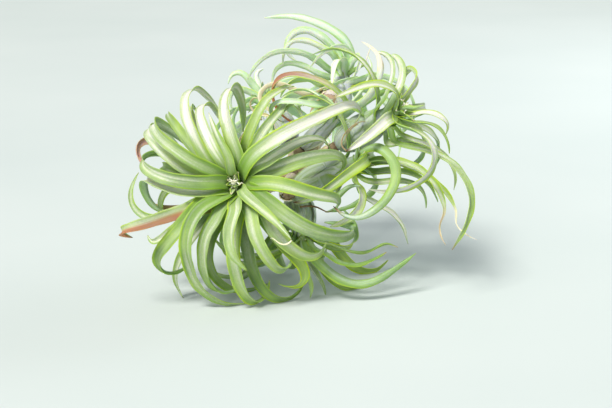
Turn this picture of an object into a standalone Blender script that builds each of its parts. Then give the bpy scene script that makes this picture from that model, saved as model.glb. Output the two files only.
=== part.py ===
"""Streptophylla air plant: a clump of seven rosettes grown from one old woody stem.

Each head is one node, a bulb of leaf bases with its long recurved leaves fused to it. The old
stem that they all sprang from is a node of its own and ends a hair short of each bulb's foot.

The leaves are laid out on a drawing sheet seen from the front: squares across, squares down and
squares deep (away from the viewer). place() turns a drawn point into the part's own frame, where
+X is across, +Y is away from the viewer, +Z is up and the surface that the plant rests on is z = 0.
"""

import math
import random
from collections import namedtuple

import bmesh
import bpy
import numpy as np
from mathutils import Matrix, Vector

# Driving dimensions, in metres unless named otherwise
SQUARE = 0.00085            # one square of the drawing sheet
SHEET_MIDDLE = (306, 204)   # squares: the point that the eye looks at
EYE_DISTANCE = 1647         # squares from the eye to the front rosette
VIEW_TILT = math.radians(15)    # the eye looks down on the plant by this much
FLOOR_DROP = 105            # squares from the looked-at point down to the resting surface
CENTRE = (-5.5, 85)         # squares: the clump's middle, across and back, from the looked-at point

LEAF_WALL = (0.0014, 0.0009)    # blade thickness at the base and at the tip
RULE_WIDTH = 10             # squares: width of a leaf that the rule adds
RULE_LENGTH = 0.112         # its length on a bulb of the common size
COMMON_RADIUS = 17          # squares: that bulb's radius
RULE_CURL = (math.radians(170), math.radians(235))  # how far round such a leaf curls
LIFT = math.radians(35)     # the angle from the bulb's axis at which it starts
RULE_LEAVE = 0.76           # the share of the bulb's height at which such leaves spring
RULE_RANK = 0.04            # how far apart their four ranks lie
ROOTS = ((0.22, 0.6), (0.04, 0.8))  # a root's depth below the leaving point and its reach outwards,
                                    # in shares of the bulb's height and radius
PLAIN_WIDTHS = ([0, .1, .22, .4, .72, .9, 1], [.45, .7, 1.06, 1.02, .74, .4, .1])
PLAIN_FOLDS = ([0, .15, .5, .8, 1], [.2, .24, .32, .5, .6])     # channel depth by half width
ASIDE = (0.31, 0.93, 0.2)   # a way that no bulb's axis runs along
FOOT_SHARE = 0.36           # a bulb's foot as a share of its greatest radius
STEM_RADIUS = 0.0046
STEM_STRAIGHT = 0.007       # the last stretch of a branch, in line with its bulb
SEAM = 0.0003               # dry parting between the old stem and a bulb's foot
NEAR = 0.016                # leaves closer than this may have to give way
CROWN = 0.029               # leaves of one head are one mass up to this length from their roots
PINNED, LOOSE = 0.016, 0.036    # a leaf can't shift up to the first length and is free past the second
HEAD_GAP = 0.0022           # clear air between leaves of different heads
LEAF_GAP = 0.0004           # and between leaves of one head
KIN_GIVE = 0.35             # leaves of one head make this share of the way that would part them
TURN_GIVE = 0.8             # share of a push that is followed in one turn
BODY_GIVE = 0.6             # and of the push away from a bulb or the stem
LEAN_WIDTH = 0.75           # share of its half width by which a leaf clears a bulb or the stem
BULB_CLEAR = 0.008          # between a rule-made leaf and the bulb of another head
FLOOR_DIP = 0.0006          # how far a resting leaf is pressed flat
TOUCHING = 0.006            # a leaf whose middle comes lower than this lies on the surface
SEED = 7

# Resolution
NODES = 36                  # points that carry each leaf's curve
TURN_STEP = math.radians(45)    # bend per blade segment
LONG_STEP = 0.05            # longest straight run per blade segment
BULB_SIDES = 12
BULB_RINGS = 6
RELAX_TURNS = 110
SOLVER = "MANIFOLD"         # EXACT leaves blades that graze each other joined along a bare edge

Leaf = namedtuple("Leaf", "head leave width twist points")
Head = namedtuple("Head", "foot heart radius fillers facing look")
Look = namedtuple("Look", "colour roughness")

GREEN = Look((0.24, 0.40, 0.16), 0.55)
PALE = Look((0.42, 0.53, 0.32), 0.60)
WOOD = Look((0.22, 0.15, 0.09), 0.80)

# Bulb foot and heart on the sheet, greatest radius in squares, how many leaves the rule adds, and
# how squarely those have to face away from the viewer (-1 any, 1 only straight away)
HEADS = {
    "head_front": Head((250, 192, 66), (236, 184, 2), 21, 5, 0, GREEN),
    "head_right": Head((338, 145, 66), (398, 110, 30), 17, 5, 0, GREEN),
    "head_middle": Head((294, 192, 50), (360, 160, 26), 18, 3, 0, GREEN),
    "head_crown": Head((330, 118, 112), (344, 74, 148), 17, 8, -0.3, PALE),
    "head_rear": Head((292, 142, 118), (264, 100, 150), 15, 7, -0.3, PALE),
    "head_lower": Head((296, 196, 100), (306, 240, 58), 17, 4, 0, GREEN),
    "head_pup": Head((302, 148, 80), (340, 117, 66), 9.5, 3, -0.3, PALE),
}
STEM_HUB = (296, 174, 85)

# Each row is one leaf: where it leaves the bulb (0 foot, 1 heart), its width in squares, its twist
# in degrees, and the points that its middle passes on the sheet
FRONT_FAN = [
    (.95, 12.5, 0, [(226, 172, -8), (206, 145, -14), (190, 115, -4), (188, 96, 10), (196, 88, 26),
                  (207, 96, 42), (216, 107, 52), (224, 122, 56)]),
    (.97, 11.5, 0, [(229, 172, -10), (213, 146, -16), (201, 122, -8), (200, 109, 4), (207, 105, 16),
                  (215, 113, 28), (222, 126, 34)]),
    (1.0, 9, 20, [(232, 174, -14), (223, 153, -26), (214, 131, -30), (208, 113, -26)]),
    (.95, 15, 0, [(238, 171, -10), (230, 145, -16), (223, 115, -4), (225, 96, 10), (233, 87, 24),
                  (240, 98, 38), (243, 115, 46), (243, 132, 50)]),
    (.93, 12.5, -10, [(226, 177, -10), (200, 167, -20), (175, 150, -18), (158, 134, -6), (154, 122, 8),
                    (163, 124, 22), (178, 134, 34), (195, 148, 42), (208, 160, 48)]),
    (.85, 12.5, -10, [(220, 178, -2), (195, 170, -4), (170, 155, 4), (154, 141, 14), (148, 130, 26),
                    (155, 127, 40), (170, 138, 50), (185, 153, 56)]),
    (.97, 13.5, -25, [(226, 182, -12), (200, 181, -24), (172, 178, -26), (152, 171, -16),
                    (143, 161, 0), (150, 154, 14), (163, 154, 26), (175, 160, 34)]),
    (.90, 15, 0, [(225, 190, -8), (200, 193, -14), (174, 190, -14), (154, 182, -4), (145, 180, 12),
                  (146, 193, 24), (155, 207, 32), (166, 214, 38)]),
]
FRONT_SKIRT = [
    (.93, 14, 0, [(222, 192, -10), (203, 206, -22), (183, 223, -26), (166, 243, -20),
                  (157, 260, -4), (165, 272, 10), (180, 270, 22), (192, 262, 30)]),
    (.98, 13, -15, [(226, 194, -14), (205, 208, -28), (191, 225, -34), (186, 245, -30),
                    (189, 264, -18), (197, 283, -4), (212, 297, 8), (232, 305, 18), (250, 304, 28)]),
    (.93, 14, 0, [(231, 198, -14), (220, 213, -26), (208, 232, -30), (203, 252, -26),
                  (204, 272, -14), (212, 288, 0), (226, 293, 12), (240, 287, 22)]),
    (1.0, 14, 10, [(236, 199, -16), (228, 214, -32), (226, 235, -42), (231, 253, -44),
                   (240, 264, -40), (246, 270, -36)]),
    (.90, 14, 0, [(238, 200, -4), (233, 225, -14), (232, 252, -18), (237, 276, -12), (246, 294, 0),
                  (258, 301, 12), (268, 293, 24), (272, 279, 32)]),
    (.95, 13, 0, [(243, 199, -14), (246, 218, -28), (255, 240, -34), (268, 258, -28),
                  (282, 268, -14), (292, 262, 0), (293, 250, 10)]),
    (.92, 14, 0, [(246, 196, -6), (258, 216, -12), (269, 234, -16), (285, 249, -14),
                  (303, 258, -6), (318, 255, 4), (325, 243, 10)]),
    (1.0, 10.5, -30, [(242, 190, -18), (257, 204, -32), (272, 218, -40), (284, 231, -44), (292, 240, -46)]),
    (.95, 15, 0, [(247, 189, -10), (265, 199, -22), (286, 215, -28), (308, 228, -26),
                  (332, 235, -16), (350, 234, 0), (353, 228, 12), (340, 224, 24), (324, 222, 32)]),
    (.97, 14, 0, [(248, 183, -12), (272, 184, -26), (297, 189, -30), (318, 194, -22),
                  (334, 199, -8), (334, 207, 6), (323, 212, 16)]),
    (.90, 15, 0, [(248, 178, -4), (272, 168, -12), (300, 159, -12), (326, 154, -2), (342, 156, 10),
                  (344, 165, 20), (336, 172, 26)]),
    (.94, 11.5, 0, [(246, 176, -8), (264, 161, -18), (286, 148, -18), (308, 139, -8), (324, 141, 6),
                  (331, 150, 14)]),
    (.97, 14, 15, [(243, 172, -14), (262, 152, -28), (287, 134, -32), (314, 120, -26),
                   (338, 109, -14), (354, 106, 2), (359, 114, 16), (353, 124, 24)]),
]
FRONT_UNDER = [
    (.85, 15, 10, [(224, 196, -2), (203, 204, -16), (180, 214, -28), (157, 222, -37), (139, 227, -41),
                   (127, 230, -37), (122, 232, -27), (125, 235, -14), (133, 238, -4)]),
    (.80, 9, 20, [(214, 184, 22), (188, 168, 36), (164, 150, 42), (148, 141, 36), (138, 146, 28),
                 (138, 157, 20), (146, 167, 10), (163, 171, 4)]),
    (.80, 13, 0, [(246, 196, 14), (268, 224, 4), (288, 250, 0), (302, 268, 4), (303, 281, 14),
                  (292, 287, 24), (278, 284, 32)]),
    (.75, 12, 0, [(240, 204, 20), (246, 245, 10), (255, 282, 14), (268, 299, 22), (284, 303, 34),
                  (298, 294, 44), (304, 280, 50)]),
    (.75, 11, 0, [(230, 202, 22), (212, 232, 16), (208, 262, 18), (222, 284, 26), (246, 290, 38),
                  (270, 283, 46)]),
    (.72, 9.5, 0, [(222, 200, 26), (198, 226, 24), (180, 256, 28), (175, 278, 36), (183, 298, 44)]),
    (.75, 11, 0, [(218, 198, 24), (190, 214, 26), (166, 232, 34), (152, 240, 44), (147, 234, 54)]),
    (.72, 8.5, 0, [(216, 196, 26), (190, 208, 26), (165, 219, 30), (145, 217, 34), (133, 205, 36),
                 (132, 188, 36), (139, 173, 34)]),
    (.70, 9.5, 0, [(214, 190, 30), (185, 186, 36), (166, 192, 42), (161, 208, 48), (170, 222, 54)]),
    # dead leaves at the bulb's foot
    (.42, 6.5, 0, [(242, 158, 60), (240, 144, 56), (249, 128, 52), (262, 114, 50), (272, 118, 50),
                 (276, 132, 52)]),
    (.45, 8.5, 0, [(215, 200, 56), (190, 206, 56), (168, 208, 54), (147, 201, 50), (142, 190, 46)]),
]
RIGHT_LEAVES = [
    (.75, 10.5, 0, [(373, 114, 32), (385, 98, 30), (391, 80, 36), (391, 65, 46), (384, 54, 58),
                  (374, 52, 68)]),
    (.85, 10.5, 0, [(385, 110, 28), (395, 96, 28), (401, 80, 36), (401, 66, 48), (394, 56, 60),
                  (384, 57, 70)]),
    (.95, 9.5, 0, [(402, 100, 30), (411, 88, 34), (417, 76, 42), (411, 69, 52), (405, 78, 60),
                 (404, 92, 64)]),
    (.98, 9.5, -20, [(397, 102, 20), (396, 93, 12), (387, 86, 4), (374, 84, -4), (358, 88, -10),
                 (346, 93, -14), (333, 98, -16)]),
    (.60, 9.5, 0, [(352, 108, 36), (341, 95, 28), (324, 83, 22), (306, 77, 18), (290, 77, 20),
                 (279, 86, 26), (277, 98, 32), (281, 110, 36), (289, 119, 40), (300, 124, 46),
                 (311, 125, 52)]),
    (.95, 12.5, 0, [(391, 120, 12), (376, 132, 0), (360, 143, -8), (346, 152, -14)]),
    (.95, 10, 40, [(410, 115, 26), (424, 113, 22), (438, 116, 22), (447, 124, 26), (446, 134, 34)]),
    (.95, 8.5, 45, [(408, 121, 20), (425, 122, 14), (438, 128, 12), (446, 139, 14), (449, 154, 18)]),
    (.95, 12, 50, [(398, 122, 14), (414, 128, 4), (428, 138, -2), (434, 152, -4), (431, 168, -4),
                  (420, 180, -2), (403, 188, 0), (385, 191, 2), (368, 190, 4)]),
    (.80, 8.5, 25, [(400, 134, 36), (418, 141, 38), (438, 150, 42), (450, 163, 46), (455, 177, 50),
                 (454, 190, 54)]),
    (.80, 11.5, 20, [(392, 140, 26), (412, 148, 22), (432, 153, 18), (450, 162, 16), (464, 178, 14),
                  (471, 196, 12), (469, 216, 12), (461, 235, 12), (452, 250, 12)]),
    (.70, 9.5, 0, [(385, 142, 46), (405, 140, 46), (425, 145, 52), (440, 158, 60)]),
    (1.0, 5.5, 0, [(405, 108, 22), (413, 108, 16), (424, 105, 12)]),
]
MIDDLE_LEAVES = [
    (.95, 10, 0, [(368, 150, 18), (383, 152, 10), (395, 166, 4), (396, 182, 0), (388, 198, -4),
                  (374, 211, -8), (357, 217, -10), (344, 213, -10), (335, 205, -8)]),
    (1.0, 11, 0, [(368, 158, 10), (353, 171, -4), (338, 184, -12), (322, 196, -16),
                  (306, 204, -14), (295, 205, -10)]),
    (.85, 11.5, 40, [(354, 181, 18), (361, 190, 10), (361, 203, 6), (354, 214, 6), (342, 222, 10),
                  (330, 227, 16)]),
    (.70, 6.5, 0, [(336, 196, 22), (348, 190, 14), (363, 189, 10)]),
    (.95, 11, 35, [(378, 158, 22), (400, 159, 20), (420, 168, 20), (436, 186, 20), (443, 202, 20),
                  (444, 213, 20), (440, 224, 20), (441, 236, 20), (446, 245, 20)]),
    (.90, 9.5, 0, [(378, 164, 30), (402, 166, 32), (426, 176, 32), (443, 190, 30), (453, 204, 28),
                 (456, 214, 26), (456, 223, 24), (464, 233, 22), (477, 240, 20)]),
    (.85, 11, 0, [(372, 172, 36), (394, 171, 42), (414, 175, 48), (430, 186, 56), (438, 202, 64)]),
    (.80, 9.5, 25, [(366, 180, 34), (390, 180, 36), (412, 183, 42), (424, 194, 50), (426, 208, 58)]),
    (.80, 9.5, 25, [(358, 190, 40), (374, 203, 44), (390, 212, 52), (402, 226, 62), (408, 244, 72)]),
]
PUP_LEAVES = [
    (.95, 10.5, 0, [(350, 105, 62), (361, 95, 54), (370, 84, 48), (374, 70, 50), (370, 56, 56)]),
    (.92, 10.5, 0, [(352, 110, 60), (366, 98, 48), (378, 81, 42), (381, 61, 46), (373, 48, 56),
                  (361, 41, 64)]),
    (.85, 8.5, 0, [(332, 106, 54), (321, 101, 42), (304, 99, 30), (288, 101, 24), (275, 107, 22),
                 (274, 114, 24), (284, 123, 28)]),
]
CROWN_LEAVES = [
    (.95, 10, 0, [(350, 62, 150), (345, 44, 148), (331, 30, 146), (313, 21, 144), (292, 16, 144),
                 (264, 18, 146)]),
    (.95, 10, 0, [(340, 57, 146), (327, 40, 142), (311, 31, 140), (297, 32, 140), (288, 42, 142),
                 (289, 54, 148), (298, 62, 154)]),
    (.90, 9, 0, [(335, 58, 138), (320, 47, 132), (304, 41, 130), (291, 43, 130), (284, 54, 132),
                 (283, 66, 136)]),
    (.85, 10, 0, [(326, 68, 138), (310, 57, 128), (292, 52, 124), (273, 54, 122), (258, 64, 122),
                 (247, 80, 124)]),
    (.80, 9, 0, [(322, 76, 140), (305, 67, 138), (288, 64, 138), (276, 71, 138), (272, 86, 140)]),
    (.97, 9, 0, [(349, 58, 142), (342, 49, 134), (330, 50, 124), (318, 58, 116), (308, 70, 110)]),
    (.92, 9, 0, [(344, 62, 134), (338, 60, 122), (334, 70, 112), (332, 86, 106)]),
    (.95, 7.5, 0, [(352, 62, 140), (359, 56, 132), (358, 66, 124), (352, 80, 118)]),
    (.75, 6.5, 0, [(326, 90, 118), (336, 83, 110), (346, 79, 106), (358, 76, 104)]),
    (.70, 9, 0, [(318, 96, 118), (303, 98, 106), (290, 106, 102), (281, 118, 106)]),
    (.66, 9, 0, [(326, 102, 110), (317, 106, 96), (309, 115, 88), (303, 128, 88)]),
    (.80, 9, 0, [(326, 84, 124), (312, 82, 112), (298, 80, 106), (286, 86, 106), (280, 98, 110)]),
    # dead leaves at the bulb's foot
    (.45, 10, 0, [(308, 96, 106), (292, 90, 96), (276, 85, 88), (264, 89, 82), (260, 99, 80),
                 (266, 108, 80), (280, 113, 82)]),
    (.35, 10, 0, [(312, 112, 100), (311, 121, 92), (314, 131, 86), (317, 140, 84)]),
]
REAR_LEAVES = [
    (.95, 7.5, 0, [(257, 90, 146), (249, 80, 142), (240, 73, 140), (232, 75, 142), (228, 84, 146)]),
    (1.0, 7.5, 0, [(260, 89, 150), (257, 80, 150), (258, 72, 152), (264, 69, 158)]),
    (.90, 7.5, 0, [(254, 94, 144), (244, 89, 138), (236, 90, 136), (231, 99, 138), (233, 110, 142)]),
    (.85, 7.5, 0, [(254, 100, 140), (243, 104, 132), (236, 112, 128), (234, 124, 130), (240, 134, 134)]),
    (.90, 7.5, 0, [(262, 106, 138), (256, 114, 126), (253, 126, 120), (256, 138, 120)]),
    (.75, 9, 0, [(274, 112, 128), (270, 122, 116), (272, 136, 108), (280, 148, 108)]),
    (.80, 9, 0, [(276, 104, 134), (288, 102, 124), (298, 108, 118), (303, 120, 118)]),
]
LOWER_LEAVES = [
    (.95, 9.5, 0, [(314, 240, 50), (332, 247, 42), (352, 253, 38), (371, 251, 38), (385, 244, 40),
                 (398, 248, 42)]),
    (.97, 9.5, 0, [(312, 246, 44), (328, 260, 36), (346, 266, 32), (364, 263, 32), (386, 252, 34)]),
    (.98, 11, 0, [(309, 249, 42), (324, 266, 32), (342, 279, 28), (364, 283, 28), (388, 273, 32),
                  (416, 253, 38)]),
    (.95, 9.5, 0, [(305, 251, 44), (309, 268, 38), (313, 284, 38), (312, 297, 42)]),
    (.92, 8.5, 0, [(307, 252, 50), (316, 270, 48), (323, 285, 50), (326, 297, 54)]),
    (.90, 9.5, 0, [(311, 250, 58), (324, 272, 58), (338, 286, 62), (352, 291, 70), (368, 286, 80)]),
    # the leaves that prop the clump from behind
    (.80, 11, 0, [(318, 230, 90), (336, 250, 104), (354, 271, 116), (372, 277, 128), (388, 266, 138)]),
    (.80, 11, 0, [(304, 226, 106), (308, 250, 126), (314, 270, 146), (322, 266, 166), (328, 250, 180)]),
    (.80, 11, 0, [(290, 228, 104), (274, 250, 120), (258, 272, 138), (240, 270, 154), (226, 256, 166)]),
    (.80, 11, 0, [(284, 232, 84), (262, 256, 92), (238, 283, 102), (216, 280, 112), (200, 270, 122)]),
]
LEAF_ROWS = {
    "head_front": FRONT_FAN + FRONT_SKIRT + FRONT_UNDER,
    "head_right": RIGHT_LEAVES,
    "head_middle": MIDDLE_LEAVES,
    "head_crown": CROWN_LEAVES,
    "head_rear": REAR_LEAVES,
    "head_lower": LOWER_LEAVES,
    "head_pup": PUP_LEAVES,
}


def place(point):
    """A drawn point (across, down, deep) in the part's frame, in metres."""
    across, down, deep = point
    spread = 1 + deep / EYE_DISTANCE
    right = (across - SHEET_MIDDLE[0]) * spread
    high = (SHEET_MIDDLE[1] - down) * spread
    back = deep * math.cos(VIEW_TILT) + high * math.sin(VIEW_TILT)
    up = high * math.cos(VIEW_TILT) - deep * math.sin(VIEW_TILT)
    return np.array([right - CENTRE[0], back - CENTRE[1], up + FLOOR_DROP]) * SQUARE


AWAY = np.array([0, math.cos(VIEW_TILT), -math.sin(VIEW_TILT)])     # the way that the eye looks


def unit(vector):
    return vector / np.maximum(np.linalg.norm(vector, axis=-1, keepdims=True), 1e-12)


def bulb_line(name):
    """A bulb's foot, heart, axis and height."""
    head = HEADS[name]
    foot, heart = place(head.foot), place(head.heart)
    return foot, heart, unit(heart - foot), np.linalg.norm(heart - foot)


def bulb_radius(name, share):
    """The bulb swells from its narrow foot and draws in again towards the heart."""
    share = np.clip(share, 0, 1)
    swell = np.sin(math.pi * share ** 0.7)
    return HEADS[name].radius * SQUARE * (FOOT_SHARE + (1 - FOOT_SHARE) * swell)


def smooth_curve(points, count):
    """Evenly spaced points on the natural cubic spline through the given ones, and its length."""
    p = np.asarray(points, float)
    knot = np.concatenate([[0], np.cumsum(np.linalg.norm(np.diff(p, axis=0), axis=1) ** 0.75)])
    gap = np.diff(knot)
    size = len(p)
    matrix = np.eye(size)
    right = np.zeros((size, 3))
    for i in range(1, size - 1):
        matrix[i, i - 1:i + 2] = gap[i - 1], 2 * (gap[i - 1] + gap[i]), gap[i]
        right[i] = 6 * ((p[i + 1] - p[i]) / gap[i] - (p[i] - p[i - 1]) / gap[i - 1])
    bend = np.linalg.solve(matrix, right)
    at = np.linspace(0, knot[-1], 300)
    k = np.clip(np.searchsorted(knot, at, side="right") - 1, 0, size - 2)
    x = (at - knot[k])[:, None]
    h = gap[k][:, None]
    fine = (bend[k] * (h - x) ** 3 + bend[k + 1] * x ** 3) / (6 * h)
    fine += (p[k] / h - bend[k] * h / 6) * (h - x) + (p[k + 1] / h - bend[k + 1] * h / 6) * x
    run = np.concatenate([[0], np.cumsum(np.linalg.norm(np.diff(fine, axis=0), axis=1))])
    even = np.linspace(0, run[-1], count)
    return np.stack([np.interp(even, run, fine[:, c]) for c in range(3)], axis=1), run[-1]


def arching_points(name, leave, azimuth, length, curl, sway):
    """A leaf by rule: it springs up beside the axis and its angle from the axis grows to curl."""
    foot, _, axis, height = bulb_line(name)
    side = unit(np.cross(axis, ASIDE))
    out = side * math.cos(azimuth) + np.cross(axis, side) * math.sin(azimuth)
    across = np.cross(axis, out)
    point = foot + axis * height * leave + out * bulb_radius(name, leave) * 0.8
    steps, points = 24, []
    for i in range(steps):
        share = (i + 0.5) / steps
        angle = LIFT + (curl - LIFT) * share ** 0.9
        aside = sway * share ** 1.5
        lean = out * math.cos(aside) + across * math.sin(aside)
        point = point + (axis * math.cos(angle) + lean * math.sin(angle)) * length / steps
        if i % 4 == 3:
            points.append(point)
    return points


def clears_bulbs(name, points):
    """True if a leaf of this head passes beside all the other bulbs."""
    points = np.array(points)
    for other in HEADS:
        foot, _, axis, height = bulb_line(other)
        share = np.clip((points - foot) @ axis / height, 0, 1)
        gap = np.linalg.norm(points - foot - axis * (share * height)[:, None], axis=1)
        if other != name and (gap < bulb_radius(other, share) + BULB_CLEAR).any():
            return False
    return True


def filler_leaves(name, rows, rng):
    """Leaves that the rule adds in the widest gaps on the side of the head away from the viewer."""
    head = HEADS[name]
    _, heart, axis, _ = bulb_line(name)
    side = unit(np.cross(axis, ASIDE))
    other = np.cross(axis, side)
    taken = []
    for _, _, _, points in rows:
        way = place(points[min(2, len(points) - 1)]) - heart
        taken.append(math.atan2(way @ other, way @ side))
    length = RULE_LENGTH * min(head.radius / COMMON_RADIUS, 1.1)
    choices = []
    for azimuth in np.linspace(0, math.tau, 72, endpoint=False):
        out = side * math.cos(azimuth) + other * math.sin(azimuth)
        points = arching_points(name, RULE_LEAVE, azimuth, length, sum(RULE_CURL) / 2, 0)
        if out @ AWAY > head.facing and clears_bulbs(name, points):
            choices.append(azimuth)
    leaves = []
    for i in range(head.fillers):
        best = max(choices, key=lambda a: min(abs((a - b + math.pi) % math.tau - math.pi) for b in taken))
        taken.append(best)
        leave = RULE_LEAVE + RULE_RANK * (1.5 - i % 4)
        curl = rng.uniform(*RULE_CURL)
        reach = length * rng.uniform(0.87, 1.1)
        points = arching_points(name, leave, best, reach, curl, rng.uniform(-0.5, 0.5))
        leaves.append(Leaf(name, leave, RULE_WIDTH, 0, points))
    return leaves


def all_leaves():
    rng = random.Random(SEED)
    leaves = []
    for name, rows in LEAF_ROWS.items():
        leaves += [Leaf(name, a, w, t, [place(p) for p in points]) for a, w, t, points in rows]
        leaves += filler_leaves(name, rows, rng)
    return leaves


def stem_branches():
    """The old stem's middle lines: from its hub to just short of each bulb's foot."""
    hub = place(STEM_HUB)
    branches = []
    for name in HEADS:
        foot, _, axis, _ = bulb_line(name)
        straight = foot - axis * STEM_STRAIGHT
        bend = hub + (straight - hub) * 0.7 - axis * STEM_RADIUS
        turning = smooth_curve([hub, bend, straight], 4)[0]
        branches.append(np.vstack([turning, foot - axis * SEAM]))
    return branches


def rooted_path(leaf):
    """The leaf's middle line from inside its bulb, its length, and the way its face looks."""
    foot, _, axis, height = bulb_line(leaf.head)
    out = leaf.points[0] - (foot + axis * height * leaf.leave)
    out = unit(out - axis * (out @ axis))
    start = []
    for depth, reach in ROOTS:
        share = leaf.leave - depth
        start.append(foot + axis * height * share + out * bulb_radius(leaf.head, share) * reach)
    path, length = smooth_curve(start + leaf.points, NODES)
    return path, length, -out


class Foliage:
    """All leaves as arrays: middle line, sections and the body that each one grows from."""

    def __init__(self, leaves):
        rooted = [rooted_path(leaf) for leaf in leaves]
        share = np.linspace(0, 1, NODES)
        self.home = [leaf.head for leaf in leaves]
        self.path = np.array([r[0] for r in rooted])
        self.length = np.array([r[1] for r in rooted])
        self.first_face = np.array([r[2] for r in rooted])
        self.twist = np.radians([leaf.twist for leaf in leaves])
        width = np.array([leaf.width for leaf in leaves]) * SQUARE
        self.half = width[:, None] / 2 * np.interp(share, *PLAIN_WIDTHS)
        self.fold = self.half * np.interp(share, *PLAIN_FOLDS)
        self.wall = np.interp(share, [0, 1], LEAF_WALL)
        self.run = share * self.length[:, None]
        self.frames()

    def frames(self):
        """Carry each leaf's face along its line without spin, then add the twist."""
        self.along = unit(np.gradient(self.path, axis=1))
        face = self.first_face
        faces = []
        for j in range(NODES):
            face = unit(face - (face * self.along[:, j]).sum(1, keepdims=True) * self.along[:, j])
            faces.append(face)
        face = np.stack(faces, axis=1)
        side = np.cross(self.along, face)
        turn = self.twist[:, None] * np.linspace(0, 1, NODES) ** 1.2
        cos, sin = np.cos(turn)[..., None], np.sin(turn)[..., None]
        self.face = face * cos + side * sin
        self.side = np.cross(self.along, self.face)


def near_pairs(plants):
    """Pairs of points on different leaves that are close enough to matter."""
    flat = plants.path.reshape(-1, 3).astype(np.float32)
    size = (flat ** 2).sum(1)
    gap = size[:, None] + size[None, :] - 2 * flat @ flat.T
    i, j = np.nonzero(np.triu(gap < NEAR ** 2, 1))
    leaf = np.repeat(np.arange(len(plants.home)), NODES)
    homes = np.array([sorted(set(plants.home)).index(h) for h in plants.home])[leaf]
    run = plants.run.reshape(-1)
    kin = homes[i] == homes[j]
    together = kin & (run[i] < CROWN) & (run[j] < CROWN)
    keep = (leaf[i] != leaf[j]) & ~together
    return i[keep], j[keep], kin[keep]


def leaf_pushes(plants, pairs, free):
    """How far each point has to give way so that no two blades touch."""
    i, j, kin = pairs
    path, along = plants.path.reshape(-1, 3), plants.along.reshape(-1, 3)
    side, face = plants.side.reshape(-1, 3), plants.face.reshape(-1, 3)
    half, fold = plants.half.reshape(-1), plants.fold.reshape(-1)
    wall = np.tile(plants.wall, len(plants.home))
    gap = path[i] - path[j]
    apart = gap - (gap * along[i]).sum(1, keepdims=True) * along[i]
    cross = along[j] - (along[j] * along[i]).sum(1, keepdims=True) * along[i]
    skew = np.linalg.norm(cross, axis=1)
    cross = unit(cross)
    amount = np.clip((skew - 0.2) / 0.3, 0, 1)[:, None]
    apart = apart - amount * (apart * cross).sum(1, keepdims=True) * cross
    distance = np.linalg.norm(apart, axis=1)
    normal = unit(apart)

    def reach(k):
        flat = np.abs((side[k] * normal).sum(1)) * half[k]
        return flat + np.abs((face[k] * normal).sum(1)) * (fold[k] / 2 + wall[k] / 2)

    wanted = reach(i) + reach(j) + np.where(kin, LEAF_GAP, HEAD_GAP)
    along_plane = np.linalg.norm(gap - apart, axis=1) / (half[i] + half[j] + 0.001)
    need = np.clip(wanted - distance, 0, None) * np.clip(1.7 - along_plane, 0, 1)
    need = need * np.where(kin, KIN_GIVE, 1)
    hit = need > 1e-6
    i, j, normal, need = i[hit], j[hit], normal[hit], need[hit]
    freedom = free.reshape(-1)
    total = np.maximum(freedom[i] + freedom[j], 1e-6)
    push, count = np.zeros_like(path), np.zeros(len(path))
    np.add.at(push, i, normal * (need * freedom[i] / total)[:, None])
    np.add.at(push, j, -normal * (need * freedom[j] / total)[:, None])
    np.add.at(count, i, 1)
    np.add.at(count, j, 1)
    return (push / np.maximum(count, 1)[:, None] ** 0.75).reshape(plants.path.shape)


def body_pushes(plants, branches, free):
    """Leaves give way to the other heads' bulbs and to the old stem."""
    flat = plants.path.reshape(-1, 3)
    half = plants.half.reshape(-1)
    own_root = plants.run.reshape(-1) < LOOSE
    push = np.zeros_like(flat)

    def give_way(centre, radius, own):
        gap = flat - centre
        distance = np.linalg.norm(gap, axis=1)
        inside = (distance < radius) & ~(own & own_root)
        push[inside] += unit(gap[inside]) * (radius - distance)[inside][:, None] * BODY_GIVE

    for name in HEADS:
        foot, _, axis, height = bulb_line(name)
        share = np.clip((flat - foot) @ axis / height, 0, 1)
        own = np.repeat([home == name for home in plants.home], NODES)
        give_way(foot + axis * (share * height)[:, None],
                 bulb_radius(name, share) + half * LEAN_WIDTH + HEAD_GAP, own)
    for branch in branches:
        gap = np.linalg.norm(flat[:, None] - branch[None], axis=2)
        give_way(branch[gap.argmin(1)], STEM_RADIUS + half * LEAN_WIDTH + HEAD_GAP, False)
    return push.reshape(plants.path.shape) * free[..., None]


def floor_push(plants):
    """Leaves that hang lower than the surface lie on it, pressed flat by a trace."""
    drop = np.abs(plants.side[..., 2]) * plants.half + plants.wall / 2
    drop += np.abs(plants.face[..., 2]) * plants.fold / 2
    return np.clip(drop - FLOOR_DIP - plants.path[..., 2], 0, None)


def relax(plants, branches):
    """Let the drawn leaves part where they would meet, a little each turn."""
    rest = plants.path.copy()
    shift = np.zeros_like(rest)
    free = np.clip((plants.run - PINNED) / (LOOSE - PINNED), 0, 1)
    for turn in range(RELAX_TURNS):
        if turn % 6 == 0:
            pairs = near_pairs(plants)
        push = leaf_pushes(plants, pairs, free) + body_pushes(plants, branches, free)
        push[..., 2] += floor_push(plants)
        shift += push * TURN_GIVE
        for _ in range(2):
            bend = np.zeros_like(shift)
            bend[:, 1:-1] = (shift[:, :-2] + shift[:, 2:]) / 2 - shift[:, 1:-1]
            bend[:, -1] = shift[:, -2] - shift[:, -1]
            shift += bend * 0.5
        shift *= free[..., None] ** 0.3
        plants.path = rest + shift
        plants.frames()


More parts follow.
